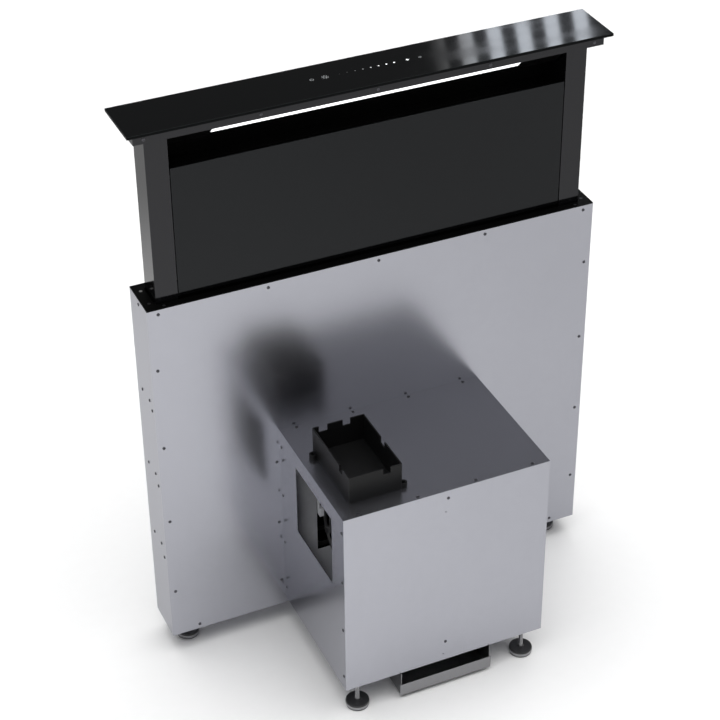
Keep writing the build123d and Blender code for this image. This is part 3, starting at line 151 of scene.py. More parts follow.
class Graph:
    """The nodes of one material or of the world."""

    def __init__(self, tree: bpy.types.NodeTree) -> None:
        """Starts with an empty tree."""
        self.tree = tree
        tree.nodes.clear()

    def give(self, node: Node, sockets: Sockets) -> None:
        """Sets or links inputs of a node.

        Args:
            node: the node.
            sockets: the values or links of its inputs, by name or number.
        """
        for name, value in sockets.items():
            if isinstance(value, Signal):
                self.tree.links.new(value.socket, node.inputs[name])
            else:
                node.inputs[name].default_value = value

    def node(self, kind: str, settings: Settings | None = None, sockets: Sockets | None = None) -> Node:
        """Adds one node.

        Args:
            kind: the node's type.
            settings: its own settings, made first.
            sockets: the values or links of its inputs, by name or number.

        Returns:
            The node.
        """
        made = self.tree.nodes.new(kind)
        for name, value in (settings or {}).items():
            setattr(made, name, value)
        self.give(made, sockets or {})
        return made

    def out(
        self, kind: str, output: str | int, settings: Settings | None = None, sockets: Sockets | None = None
    ) -> Signal:
        """Adds a node as node() does and gives one of its outputs, by name or number."""
        return Signal(self, self.node(kind, settings, sockets).outputs[output])

    def maths(self, operation: str, *values: Value) -> Signal:
        """The result of a Math node on these values."""
        return self.out("ShaderNodeMath", 0, {"operation": operation}, dict(enumerate(values)))

    def vector(self, operation: str, *values: Setting, output: int = 0) -> Signal:
        """The vector that a Vector Math node makes of these values, or its number for output 1."""
        return self.out("ShaderNodeVectorMath", output, {"operation": operation}, dict(enumerate(values)))

    def length(self, vector: Signal) -> Signal:
        """How long a vector is."""
        return self.vector("LENGTH", vector, output=1)

    def join(self, x: Value, y: Value, z: Value) -> Signal:
        """A vector from its x, y and z."""
        return self.out("ShaderNodeCombineXYZ", 0, None, {0: x, 1: y, 2: z})

    def parts(self, vector: Signal) -> list[Signal]:
        """The x, y and z of a vector."""
        made = self.node("ShaderNodeSeparateXYZ", None, {0: vector})
        return [Signal(self, output) for output in made.outputs]

    def place(self) -> Signal:
        """Where a point is on its piece, in metres."""
        return self.out("ShaderNodeTexCoord", "Object")

    def ray(self, kind: Ray) -> Signal:
        """1 for a ray of this kind and 0 for any other."""
        return self.out("ShaderNodeLightPath", kind.value)

    def noise(self, place: Signal, scale: float, detail: float = 2.0) -> Signal:
        """Smooth noise between 0 and 1, with some finer octaves."""
        sockets = {"Vector": place, "Scale": scale, "Detail": detail}
        return self.out("ShaderNodeTexNoise", "Fac", None, sockets)

    def cells(self, place: Signal, scale: float) -> Signal:
        """A random grey between 0 and 1 for each crystal of a zinc coat."""
        colour = self.out("ShaderNodeTexVoronoi", "Color", None, {"Vector": place, "Scale": scale})
        return self.out("ShaderNodeSeparateColor", 0, None, {0: colour})

    def ramp(self, value: Signal, by: Ramp) -> Signal:
        """A value carried through a ramp."""
        sockets = {0: value, 1: by.low, 2: by.high, 3: by.start, 4: by.end}
        return self.out("ShaderNodeMapRange", 0, {"interpolation_type": "SMOOTHSTEP"}, sockets)

    def blend(self, share: Value, first: Setting, second: Setting) -> Signal:
        """Two colours mixed; the share is how much of the second there is."""
        return self.out("ShaderNodeMix", 2, {"data_type": "RGBA"}, {0: share, 6: first, 7: second})

    def shaded(self, colour: Colour, grey: Signal) -> Signal:
        """A colour made lighter or darker by a grey round 1."""
        return self.vector("MULTIPLY", colour, self.join(grey, grey, grey))

    def arris(self) -> Signal:
        """Tells the rounded edges of a square-cut piece from its flats.

        Returns:
            1 on the edges and 0 on the flats.
        """
        x, y, z = self.parts(self.out("ShaderNodeTexCoord", "Normal"))
        largest = self.maths("MAXIMUM", self.maths("MAXIMUM", abs(x), abs(y)), abs(z))
        return self.ramp(1.0 - largest, OFF_FLAT)

    def bump(self, height: Signal, depth: float) -> Signal:
        """The normals of a relief whose height of 1 is this deep, in metres."""
        sockets = {"Height": height, "Distance": depth, "Strength": 1.0}
        return self.out("ShaderNodeBump", 0, None, sockets)


# ---- finishes ----
def rgba(colour: Colour) -> tuple[float, float, float, float]:
    """A colour with full cover."""
    return (*colour, 1.0)


@dataclass(frozen=True)
class Finish:
    """What all finishes have."""

    title: str
    colour: Colour
    roughness: float

    @cache
    def material(self) -> bpy.types.Material:
        """Makes the finish's material the first time it is asked for, and keeps it.

        Returns:
            The material.
        """
        made = bpy.data.materials.new(self.title)
        made.use_nodes = True
        graph = Graph(made.node_tree)
        plain = {"Base Color": rgba(self.colour), "Roughness": self.roughness}
        shader = graph.node("ShaderNodeBsdfPrincipled", None, plain)
        graph.give(shader, self.inputs(graph))
        graph.node("ShaderNodeOutputMaterial", None, {"Surface": Signal(graph, shader.outputs[0])})
        return made

    def inputs(self, graph: Graph) -> Sockets:
        """Works out the shader's inputs: numbers are the same all over, signals vary.

        Args:
            graph: the material's nodes.

        Returns:
            The inputs by name.
        """
        raise NotImplementedError


@dataclass(frozen=True)
class SheetMetal(Finish):
    """Rolled metal sheet, plated or plain, with cloudy zinc crystals, rolling lines and worn arrises."""

    lines: Axis = Axis.Z
    crystals: float = 0.02
    streaks: float = 0.04
    clouds: float = 0.06
    worn: Colour = (0.72, 0.73, 0.75)
    bare: float = 1.0
    glancing: float = 0.76
    cloud_scale: float = 5.0
    crystal_scale: float = 95.0
    streak_scale: float = 420.0
    grit_scale: float = 900.0
    wear_scale: float = 60.0
    relief: float = 0.0000012

    def inputs(self, graph: Graph) -> Sockets:
        """Varies brightness and roughness with the sheet's make, and bares its arrises."""
        place = graph.place()
        cloud = graph.noise(place, self.cloud_scale, 3.0) - 0.5
        crystal = graph.cells(place, self.crystal_scale) - 0.5
        along = graph.vector("MULTIPLY", place, self.lines.value)
        streak = graph.noise(along, self.streak_scale, 3.0) - 0.5
        grit = graph.noise(place, self.grit_scale, 1.0)
        grey = 1.0 + cloud * self.clouds + crystal * self.crystals + streak * self.streaks
        wear = graph.arris() * (0.35 + 0.5 * graph.noise(place, self.wear_scale))
        return {
            "Metallic": self.bare,
            "Specular Tint": rgba((self.glancing,) * 3),
            "Base Color": graph.blend(wear, graph.shaded(self.colour, grey), rgba(self.worn)),
            "Roughness": self.roughness + cloud * 0.03 + crystal * 0.005 + streak * 0.01,
            "Normal": graph.bump(streak * 0.6 + grit * 0.4, self.relief),
        }


@dataclass(frozen=True)
class Enamel(Finish):
    """Stoved gloss enamel on steel: a little orange peel, fine dust and thinner cover on the arrises."""

    peel: float = 0.00001
    thin: Colour = (0.05, 0.05, 0.052)
    shine: float = 0.5
    cast: Colour = (0.95, 0.95, 1.0)
    cloud_scale: float = 7.0
    peel_scale: float = 420.0
    dust_scale: float = 1600.0
    dust: Ramp = Ramp(0.66, 0.74)

    def inputs(self, graph: Graph) -> Sockets:
        """Varies the gloss, lifts the arrises and adds the peel."""
        place = graph.place()
        cloud = graph.noise(place, self.cloud_scale) - 0.5
        dust = graph.ramp(graph.noise(place, self.dust_scale, 1.0), self.dust)
        base = graph.shaded(self.colour, 1.0 + cloud * 0.4 + dust * 0.8)
        return {
            "Specular IOR Level": self.shine,
            "Specular Tint": rgba(self.cast),
            "Base Color": graph.blend(graph.arris() * 0.5, base, rgba(self.thin)),
            "Roughness": self.roughness + cloud * 0.05 + dust * 0.08,
            "Normal": graph.bump(graph.noise(place, self.peel_scale), self.peel),
        }


@dataclass(frozen=True)
class Glass(Finish):
    """Polished glass painted on its back, with faint wipe marks and bright ground arrises."""

    shine: float = 0.5
    ground: Colour = (0.02, 0.024, 0.024)
    cast: Colour = (0.92, 0.96, 1.0)
    wipe_way: Place = (0.4, 1.0, 1.0)
    wipe_scale: float = 14.0
    speck_scale: float = 700.0
    specks: Ramp = Ramp(0.68, 0.75)
    haze: Ramp = Ramp(0.45, 0.75, 0.0, 0.03)
    smear: float = 0.000004

    def inputs(self, graph: Graph) -> Sockets:
        """Adds the wipe marks to the gloss and grinds the arrises."""
        place = graph.place()
        wipes = graph.noise(graph.vector("MULTIPLY", place, self.wipe_way), self.wipe_scale, 4.0)
        specks = graph.ramp(graph.noise(place, self.speck_scale, 1.0), self.specks)
        arris = graph.arris()
        base = graph.shaded(self.colour, 1.0 + specks * 1.5)
        return {
            "Specular IOR Level": self.shine,
            "Specular Tint": rgba(self.cast),
            "Base Color": graph.blend(arris, base, rgba(self.ground)),
            "Roughness": self.roughness + graph.ramp(wipes, self.haze) + arris * 0.25,
            "Normal": graph.bump(wipes, self.smear),
        }


@dataclass(frozen=True)
class TurnedMetal(Finish):
    """Machined or plated metal with fine tool rings round its own axis and handling marks."""

    tint: Colour = (0.3, 0.3, 0.3)
    ring_scale: float = 1800.0
    ring_depth: float = 0.00001
    stain_scale: float = 55.0
    stains: Ramp = Ramp(0.5, 0.8, 0.0, 0.35)
    mark_scale: float = 500.0
    marks: Ramp = Ramp(0.6, 0.75)

    def inputs(self, graph: Graph) -> Sockets:
        """Adds the tool rings, stains and small marks."""
        place = graph.place()
        x, y, z = graph.parts(place)
        across = graph.length(graph.join(x, y, 0.0))
        rings = graph.noise(graph.join(across, 0.0, z), self.ring_scale, 1.0)
        stain = graph.ramp(graph.noise(place, self.stain_scale, 3.0), self.stains)
        marks = graph.ramp(graph.noise(place, self.mark_scale), self.marks)
        base = graph.shaded(self.colour, 0.92 + rings * 0.16)
        return {
            "Metallic": 1.0,
            "Base Color": graph.blend(stain, base, rgba(self.tint)),
            "Roughness": self.roughness + rings * 0.08 + marks * 0.1 - 0.04,
            "Normal": graph.bump(rings, self.ring_depth),
        }


@dataclass(frozen=True)
class Moulded(Finish):
    """Moulded plastic or rubber with a spark-eroded grain, flow clouds and rubbed arrises."""

    grain: float = 900.0
    depth: float = 0.00004
    rubbed: Colour = (0.03, 0.03, 0.031)
    shine: float = 0.5
    cloud_scale: float = 22.0

    def inputs(self, graph: Graph) -> Sockets:
        """Adds the grain, the clouds and the rubbed arrises."""
        place = graph.place()
        cloud = graph.noise(place, self.cloud_scale, 3.0) - 0.5
        grain = graph.noise(place, self.grain)
        base = graph.shaded(self.colour, 1.0 + cloud * 0.3 + (grain - 0.5) * 0.4)
        return {
            "Specular IOR Level": self.shine,
            "Base Color": graph.blend(graph.arris() * 0.4, base, rgba(self.rubbed)),
            "Roughness": self.roughness + cloud * 0.12 + (grain - 0.5) * 0.15,
            "Normal": graph.bump(grain, self.depth),
        }


@dataclass(frozen=True)
class Lit(Finish):
    """A surface that gives light, with a fine haze."""

    glow: float = 1.0
    haze_scale: float = 1400.0

    def level(self, graph: Graph, x: Signal, haze: Signal) -> Signal:
        """How bright the surface is at x; each lit finish has its own."""
        raise NotImplementedError

    def inputs(self, graph: Graph) -> Sockets:
        """Lights the surface."""
        place = graph.place()
        haze = graph.noise(place, self.haze_scale)
        light = graph.shaded(self.colour, self.level(graph, graph.parts(place)[0], haze))
        return {
            "Emission Strength": self.glow,
            "Base Color": light,
            "Emission Color": light,
            "Roughness": self.roughness + haze * 0.1,
        }


@dataclass(frozen=True)
class Diffuser(Lit):
    """The opal cover of the light strip, a little brighter over each of its diodes."""

    glow: float = 1.6
    haze_scale: float = 300.0
    pitch: float = 0.0083

    def level(self, graph: Graph, x: Signal, haze: Signal) -> Signal:
        """Brightens the cover over the diodes."""
        return 0.93 + graph.maths("SINE", x * (math.tau / self.pitch)) * 0.04 + haze * 0.06


@dataclass(frozen=True)
class TouchMark(Lit):
    """A lit mark under the glass, of one brightness or brighter from left to right."""

    rise: Ramp = Ramp(-0.05, 0.052, 0.1, 1.0)
    power: float = 2.2

    def level(self, graph: Graph, x: Signal, haze: Signal) -> Signal:
        """Brightens the mark by where it is."""
        return graph.maths("POWER", graph.ramp(x, self.rise), self.power) * (0.9 + haze * 0.2)


@dataclass(frozen=True)
class CircuitBoard(Finish):
    """Lacquered laminate with copper tracks under the lacquer."""

    copper: Colour = (0.16, 0.22, 0.06)
    track_scale: float = 160.0
    track_edge: Ramp = Ramp(0.05, 0.08, 1.0, 0.0)
    track_height: float = 0.00004

    def inputs(self, graph: Graph) -> Sockets:
        """Draws the tracks and pads."""
        sockets = {"Vector": graph.place(), "Scale": self.track_scale}
        gap = graph.out("ShaderNodeTexVoronoi", "Distance", {"feature": "DISTANCE_TO_EDGE"}, sockets)
        track = graph.ramp(gap, self.track_edge)
        return {
            "Base Color": graph.blend(track, rgba(self.colour), rgba(self.copper)),
            "Roughness": self.roughness - track * 0.1,
            "Normal": graph.bump(track, self.track_height),
        }


ZINC_GREY: Colour = (0.440, 0.444, 0.486)
GALVANISED = SheetMetal("galvanised sheet", ZINC_GREY, 0.24)
GALVANISED_LEVEL = SheetMetal("galvanised sheet, level", ZINC_GREY, 0.26, lines=Axis.Y)
# Painted light: a lighter, less metallic copy of the galvanised sheet, for the back of the motor box, the
# scroll and its hangers inside the box.
GALVANISED_PAINTED_LIGHT = SheetMetal("galvanised sheet, dull, painted lighter", (0.70, 0.71, 0.75), 0.62, crystals=0.05, bare=0.2)
# Painted shade: a darker copy of the galvanised sheet for the outlet duct low under the box.
DUCT_SHEET_PAINTED_SHADE = SheetMetal("galvanised sheet, duct, painted darker", (0.315, 0.315, 0.325), 0.30, lines=Axis.X)
RAIL = SheetMetal("extruded aluminium", (0.72, 0.72, 0.74), 0.28, crystals=0.0, streaks=0.08)
FLAP = SheetMetal("mill aluminium", (0.66, 0.66, 0.67), 0.33, lines=Axis.X, crystals=0.0, streaks=0.08)
MESH = SheetMetal("expanded mesh", (0.60, 0.60, 0.61), 0.35, lines=Axis.X, crystals=0.0)
MOTOR = SheetMetal("motor steel", (0.35, 0.35, 0.37), 0.36, lines=Axis.X, crystals=0.0)
ENAMEL = Enamel("black enamel", (0.003, 0.003, 0.0035), 0.10, shine=0.47)
INNER_ENAMEL = Enamel("black enamel, inner", (0.0015,) * 3, 0.35, thin=(0.004,) * 3, shine=0.08)
WIRE = Enamel("satin black steel", (0.03, 0.03, 0.032), 0.38, peel=0.00003, thin=(0.12, 0.12, 0.12))
CAP_GLASS = Glass("black glass", (0.002, 0.0022, 0.0024), 0.03, shine=0.42)
GLASS_EDGE = Glass(
    "black glass, edge", (0.0015, 0.0017, 0.0018), 0.45, shine=0.08, ground=(0.012, 0.014, 0.014)
)
PANEL_GLASS = Glass("black glass, satin", (0.002, 0.002, 0.0023), 0.10, shine=0.29)
DARK_SCREW = TurnedMetal("dark screws", (0.10, 0.10, 0.11), 0.32, tint=(0.05, 0.05, 0.05))
ZINC = TurnedMetal("zinc plated steel", (0.58, 0.58, 0.57), 0.30, tint=(0.42, 0.40, 0.33))
FOOT_STEEL = TurnedMetal("foot steel", (0.33, 0.33, 0.34), 0.18, tint=(0.24, 0.24, 0.24))
BRASS = TurnedMetal("machined brass", (0.70, 0.50, 0.22), 0.26, tint=(0.35, 0.22, 0.09))
BLACK_PLASTIC = Moulded(
    "black plastic", (0.003, 0.003, 0.0032), 0.42, rubbed=(0.02, 0.02, 0.021), shine=0.30
)
GLOSS_PLASTIC = Moulded("black plastic, gloss", (0.028, 0.028, 0.030), 0.12, depth=0.000004)
WHITE_PLASTIC = Moulded("white plastic", (0.78, 0.78, 0.75), 0.40, rubbed=(0.85, 0.85, 0.83))
WHEEL_PLASTIC = Moulded("wheel plastic", (0.045, 0.045, 0.05), 0.38, grain=600.0)
RUBBER = Moulded("rubber", (0.018, 0.018, 0.018), 0.62, grain=1300.0, rubbed=(0.04, 0.04, 0.04))
OPAL = Diffuser("opal diffuser", (0.98, 0.99, 1.0), 0.35)
MARK_WHITE: Colour = (0.95, 0.98, 1.0)
SCALE_DOTS = TouchMark("touch scale", MARK_WHITE, 0.3)
SYMBOL = TouchMark("touch symbols", (0.8, 0.84, 0.86), 0.3, rise=Ramp(-0.3, 0.3, 0.32, 0.32), power=1.3)
BRIGHT_SYMBOL = TouchMark(
    "bright touch symbol", MARK_WHITE, 0.3, rise=Ramp(-0.3, 0.3, 0.85, 0.85), power=1.3
)
BOARD = CircuitBoard("circuit board", (0.02, 0.12, 0.05), 0.34)


# ---- building meshes ----
def on_circle(radius: float, angle: float) -> Point:
    """The x and y of a point on a circle round the origin; the angle is in radians."""
    return radius * math.cos(angle), radius * math.sin(angle)


def closed(base: float, *points: Point) -> list[Point]:
    """A profile that ends where it starts, with its heights counted from a base."""
    return [(radius, base + height) for radius, height in (*points, points[0])]


class Shape:
    """A mesh in the making."""

    def __init__(self) -> None:
        """Starts with nothing."""
        self.bm = bmesh.new()

    def band(self, low: Row, high: Row, sides: int) -> None:
        """Joins two rows of corners by faces; a row of one corner makes them triangles.

        Args:
            low: the lower row.
            high: the upper row.
            sides: how many faces there are.
        """
        for step in range(sides):
            places = ((low, step), (low, step + 1), (high, step + 1), (high, step))
            corners = list(dict.fromkeys(row[place % len(row)] for row, place in places))
            if len(corners) > 2:
                self.bm.faces.new(corners)

    def lathe(self, profile: Profile, sides: int = 32, at: Matrix = Matrix()) -> "Shape":
        """Turns a profile round the local z axis.

        Args:
            profile: (radius, height) points; a radius of 0 closes an end.
            sides: how many sides the turned form has.
            at: where the local frame lies.

        Returns:
            The shape itself.
        """
        rings = []
        for radius, height in profile:
            turns = [math.tau * step / sides for step in range(sides if radius > 0 else 1)]
            points = [Vector((*on_circle(radius, turn), height)) for turn in turns]
            rings.append([self.bm.verts.new(at @ point) for point in points])
        for low, high in zip(rings, rings[1:]):
            self.band(low, high, sides)
        return self

    def thread(self, crest: float, root: float, pitch: float, starts: int, z0: float, z1: float) -> "Shape":
        """Winds a thread round the local z axis, closed at both ends.

        Args:
            crest: its outer radius.
            root: its inner radius.
            pitch: the distance from a crest to the next.
            starts: how many threads run side by side.
            z0: its lower end.
            z1: its upper end.

        Returns:
            The shape itself.
        """
        sides = THREAD_SIDES
        lead = pitch * starts
        rows = []
        for turn in range(-starts - 1, int((z1 - z0) / pitch) + starts + 2):
            for share, depth in THREAD_STEPS:
                row = []
                for step in range(sides + 1):
                    height = z0 + (turn + share) * pitch + lead * step / sides
                    held = min(max(height, z0), z1)
                    fade = min(1.0, (held - z0) / pitch, (z1 - held) / pitch)
                    reach = root + (crest - root) * depth * fade
                    row.append(self.bm.verts.new((*on_circle(reach, math.tau * step / sides), held)))
                rows.append(row)
        for low, high in zip(rows, rows[1:]):
            self.band(low, high, sides)
        bmesh.ops.remove_doubles(self.bm, verts=self.bm.verts, dist=SLIVER)
        bmesh.ops.dissolve_degenerate(self.bm, edges=self.bm.edges, dist=SLIVER)
        open_edges = [edge for edge in self.bm.edges if edge.is_boundary]
        bmesh.ops.holes_fill(self.bm, edges=open_edges, sides=0)
        return self

    def block(self, low: Corner, high: Corner, arris: float = 0.0, at: Matrix = Matrix()) -> "Shape":
        """Adds a block whose edges are rounded.

        Args:
            low: its lowest corner.
            high: its highest corner.
            arris: the width of its rounded edges.
            at: where the local frame lies.

        Returns:
            The shape itself.
        """
        low, high = Vector(low), Vector(high)
        size = Matrix.Diagonal((*(high - low), 1.0))
        place = at @ Matrix.Translation((low + high) / 2) @ size
        made = bmesh.ops.create_cube(self.bm, size=1.0, matrix=place)
        if arris > 0:
            edges = list(dict.fromkeys(edge for vert in made["verts"] for edge in vert.link_edges))
            bmesh.ops.bevel(
                self.bm, geom=edges, offset=arris, segments=BENDS, profile=FULLNESS, affect="EDGES"
            )
        return self

    def prism(self, outline: Profile, z0: float, z1: float) -> "Shape":
        """Raises a flat outline along the local z axis.

        Args:
            outline: its (x, y) corners, anticlockwise.
            z0: its lower end.
            z1: its upper end.

        Returns:
            The shape itself.
        """
        low, high = ([self.bm.verts.new((x, y, z)) for x, y in outline] for z in (z0, z1))
        self.band(low, high, len(outline))
        self.bm.faces.new(low[::-1])
        self.bm.faces.new(high)
        return self

    def copy_of(self, other: Mesh, at: Matrix) -> None:
        """Adds a copy of a mesh at a place.

        Args:
            other: the mesh.
            at: the place.
        """
        start = len(self.bm.verts)
        self.bm.from_mesh(other)
        self.bm.verts.ensure_lookup_table()
        bmesh.ops.transform(self.bm, matrix=at, verts=self.bm.verts[start:])

    def mesh(self, name: str, crease: float = CREASE) -> Mesh:
        """Finishes the mesh.

        Args:
            name: its name.
            crease: edges that turn by more than this many degrees stay sharp.

        Returns:
            The mesh.
        """
        bmesh.ops.recalc_face_normals(self.bm, faces=self.bm.faces)
        made = bpy.data.meshes.new(name)
        self.bm.to_mesh(made)
        self.bm.free()
        made.polygons.foreach_set("use_smooth", [True] * len(made.polygons))
        made.set_sharp_from_angle(angle=math.radians(crease))
        return made


def put(name: str, data: bpy.types.ID) -> Piece:
    """Puts a new object in the scene.

    Args:
        name: its name.
        data: its mesh, lamp or camera.

    Returns:
        The object.
    """
    made = bpy.data.objects.new(name, data)
    bpy.context.scene.collection.objects.link(made)
    return made


@dataclass
class Workshop:
    """Puts pieces in the scene and finishes on them."""

    nodes: dict[str, Piece]
    dressed: set[str] = field(default_factory=set)
    flat_angle: float = 0.5
    flat_weight: int = 80

    def dress(self, finish: Finish, *names: str, arris: float = 0.0004) -> None:
        """Puts a finish on pieces that keep their shape, and rounds their sharp edges.

        Args:
            finish: the finish.
            names: the pieces.
            arris: the width of the rounding.
        """
        for name in names:
            node = self.nodes[name]
            for slot in node.material_slots:
                slot.material = finish.material()
            self.round_edges(node, arris)
            self.dressed.add(name)
            LOG.info("%s: %s", name, finish.title)

    def round_edges(self, piece: Piece, arris: float) -> None:
        """Rounds the sharp edges of a piece.

        Args:
            piece: the piece.
            arris: the width of the rounding.
        """
        weld = piece.modifiers.new("weld", "WELD")
        weld.merge_threshold = MERGE
        flat = piece.modifiers.new("flats", "DECIMATE")
        flat.decimate_type = "DISSOLVE"
        flat.angle_limit = math.radians(self.flat_angle)
        bevel = piece.modifiers.new("arris", "BEVEL")
        bevel.width = arris
        bevel.segments = BENDS
        bevel.limit_method = "ANGLE"
        bevel.angle_limit = math.radians(CREASE)
        bevel.use_clamp_overlap = True
        self.flatten_normals(piece)

    def flatten_normals(self, piece: Piece) -> None:
        """Shades the large faces of a piece flat, so that only its rounded edges bend the light."""
        piece.modifiers.new("normals", "WEIGHTED_NORMAL").weight = self.flat_weight

    def add(
        self,
        name: str,
        body: str,
        shape: Shape,
        finish: Finish,
        slot: str,
        replaces: Sequence[str] = (),
        origin: Place = (0.0, 0.0, 0.0),
        crease: float = CREASE,
    ) -> Mesh:
        """Puts a new piece in the scene.

        Args:
            name: its name.
            body: the body that it moves with.
            shape: its shape.
            finish: its finish.
            slot: not used.
            replaces: the CAD nodes that it stands for.
            origin: where its own frame lies.
            crease: edges that turn by more than this many degrees stay sharp.

        Returns:
            Its mesh.
        """
        mesh = shape.mesh(name, crease)
        piece = put(name, mesh)
        piece.location = origin
        self.flatten_normals(piece)
        mesh.materials.append(finish.material())
        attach(piece, body)
        if replaces:
            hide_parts(*replaces)
            self.dressed.update(replaces)
        LOG.info("%s: new piece on %s, %s", name, body, finish.title)
        return mesh


def extent(node: str) -> tuple[Vector, Vector, Vector]:
    """The lowest corner, the highest corner and the middle of a CAD node at rest."""
    low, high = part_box(node)
    return low, high, (low + high) / 2


@dataclass
class Assembly:
    """What all the sub-assemblies have: the workshop that they are made in."""

    shop: Workshop

    def build(self) -> None:
        """Dresses the pieces of the sub-assembly, or builds them."""
        raise NotImplementedError


# ---- screws ----
@dataclass
class Screws(Assembly):
    """The cross-recess screws of the vent, set where the model has them."""

    long: float = 0.0077
    short: float = 0.0065
    between: float = 0.0070
    head_r: float = 0.0030
    head_h: float = 0.0012
    neck_r: float = 0.0024
    shank_r: float = 0.0019
    tip_r: float = 0.0012
    tip_h: float = 0.0006
    ease: float = 0.0002
    dome: Profile = ((0.0, 0.0), (0.5, -0.00006), (0.8, -0.00024), (0.96, -0.0006), (1.0, -0.0012))
    recess: float = 0.0007
    arm: float = 0.0031
    arm_width: float = 0.00062
    clear: float = 0.0010
    spin: float = 137.5
    spins: int = 12
    sides: int = 24
    # Sunk screws beyond these get the bright zinc finish, a painted highlight where the other screws are
    # dark.
    bright_x: float = 0.405
    bright_y: float = 0.15

    def head(self, length: float, sunk: bool) -> Mesh:
        """Builds one screw with its outer end at the origin and its shank below.

        Args:
            length: from its outer end to the tip of its shank.
            sunk: whether its head is flat.

        Returns:
            Its mesh.
        """
        edge = self.head_r
        top = [(share * edge, height) for share, height in self.dome]
        if sunk:
            top = [(0.0, 0.0), (edge - self.ease, 0.0), (edge, -self.ease), (edge, -self.head_h)]
        shank = [(self.shank_r, -self.head_h), (self.shank_r, -length + self.tip_h), (self.tip_r, -length)]
        turned = Shape().lathe([*top, *shank, (0.0, -length)], self.sides)
        blank = put("screw blank", turned.mesh("screw blank"))
        cross = Shape()
        low = Vector((-self.arm / 2, -self.arm_width / 2, -self.recess))
        for turn in (0.0, math.pi / 2):
            cross.block(low, (-low.x, -low.y, self.clear), at=Matrix.Rotation(turn, 4, "Z"))
        cutter = put("cross cutter", cross.mesh("cross cutter"))
        cut = blank.modifiers.new("cross", "BOOLEAN")
        cut.operation = "DIFFERENCE"
        cut.object = cutter
        cut.use_self = True
        held = blank.evaluated_get(bpy.context.evaluated_depsgraph_get())
        made = bpy.data.meshes.new_from_object(held)
        for piece in (cutter, blank):
            bpy.data.objects.remove(piece)
        return made

    def places(self, node: str) -> list[tuple[Matrix, float]]:
        """Finds the screws of a node.

        Args:
            node: the node's name.

        Returns:
            For each screw the frame of its outer end, with z outwards, and its length.
        """
        bm = bmesh.new()
        bm.from_mesh(self.shop.nodes[node].data)
        bmesh.ops.remove_doubles(bm, verts=bm.verts, dist=MERGE)
        found, seen = [], set()
        for first in bm.verts:
            group, todo = [], [first]
            while todo:
                vert = todo.pop()
                if vert not in seen:
                    seen.add(vert)
                    group.append(vert.co.copy())
                    todo += [edge.other_vert(vert) for edge in vert.link_edges]
            if group:
                found.append(self.placed(group, len(found)))
        bm.free()
        return found

    def placed(self, points: list[Vector], index: int) -> tuple[Matrix, float]:
        """Works out how one screw lies.

        Args:
            points: its corners.
            index: its number, which turns its cross.

        Returns:
            The frame of its outer end, with z outwards, and its length.
        """
        low, high = (Vector([pick(p[k] for p in points) for k in range(3)]) for pick in (min, max))
        middle, length = (low + high) / 2, max(high - low)
        axis = Vector([float(side == length) for side in high - low])
        head = [p.dot(axis) for p in points if (p - middle).cross(axis).length > self.neck_r]
        way = axis if sum(head) / len(head) > middle.dot(axis) else -axis
        turn = way.to_track_quat("Z", "Y").to_matrix().to_4x4()
        spin = Matrix.Rotation(math.radians(self.spin * (index % self.spins)), 4, "Z")
        return Matrix.Translation(middle + way * (length / 2)) @ turn @ spin, length

    def build(self) -> None:
        """Sets every screw; the sunk ones in the back corners of the guide frame are bright zinc, a painted
        highlight where the other screws are dark.
        """
        long_head, short_head = self.head(self.long, False), self.head(self.short, True)
        bright_row = Shape()
        homes = {"casing_screws": "casing", "motor_box_screws": "casing", "header_screws": "riser"}
        for node, body in homes.items():
            row = Shape()
            for place, length in self.places(node):
                sunk = length < self.between
                at = place.translation
                # Painted highlight: the sunk screws in the back corners take the bright zinc finish.
                bright = sunk and abs(at.x) > self.bright_x and at.y > self.bright_y
                (bright_row if bright else row).copy_of(short_head if sunk else long_head, place)
            name = node.replace("screws", "screw_heads")
            self.shop.add(name, body, row, DARK_SCREW, "dark_screws", (node,))
        self.shop.add("corner_screw_heads", "casing", bright_row, ZINC, "zinc_steel")


# ---- casing and motor box ----
@dataclass
class Casing(Assembly):
    """The slim casing with its black guide frame and the rails inside."""

    arris: float = 0.0005

    def build(self) -> None:
        """Dresses the casing."""
        sheets = ("casing_front_panel", "casing_back_panel", "casing_left_side", "casing_right_side")
        folded = ("corner_angles", "box_brackets", "bearing_brackets")
        self.shop.dress(GALVANISED, *sheets, *folded, arris=self.arris)
        self.shop.dress(GALVANISED_LEVEL, "casing_bottom", arris=self.arris)
        self.shop.dress(INNER_ENAMEL, "top_guide_frame", arris=self.arris)
        self.shop.dress(RAIL, "left_guide_rail", "right_guide_rail", arris=0.0003)


@dataclass
class MotorBox(Assembly):
    """The box that holds the blower, its open tray and its outlet duct."""

    arris: float = 0.0006

    def build(self) -> None:
        """Dresses the box."""
        sides = ("motor_box_left_side", "motor_box_right_side", "motor_box_front_cover")
        self.shop.dress(GALVANISED, *sides, arris=self.arris)
        # Painted light: the back of the box takes the lighter copy of the galvanised sheet.
        self.shop.dress(GALVANISED_PAINTED_LIGHT, "motor_box_back", arris=self.arris)
        self.shop.dress(GALVANISED_LEVEL, "motor_box_top", "motor_box_bottom", arris=self.arris)
        # Painted shade: the duct takes the darker copy of the galvanised sheet.
        self.shop.dress(DUCT_SHEET_PAINTED_SHADE, "outlet_duct", arris=self.arris)
        self.shop.dress(FLAP, "front_damper", "back_damper", arris=0.0002)
        self.shop.dress(BLACK_PLASTIC, "control_tray", arris=0.0007)
        self.shop.dress(BLACK_PLASTIC, "electronics_case", arris=0.0008)


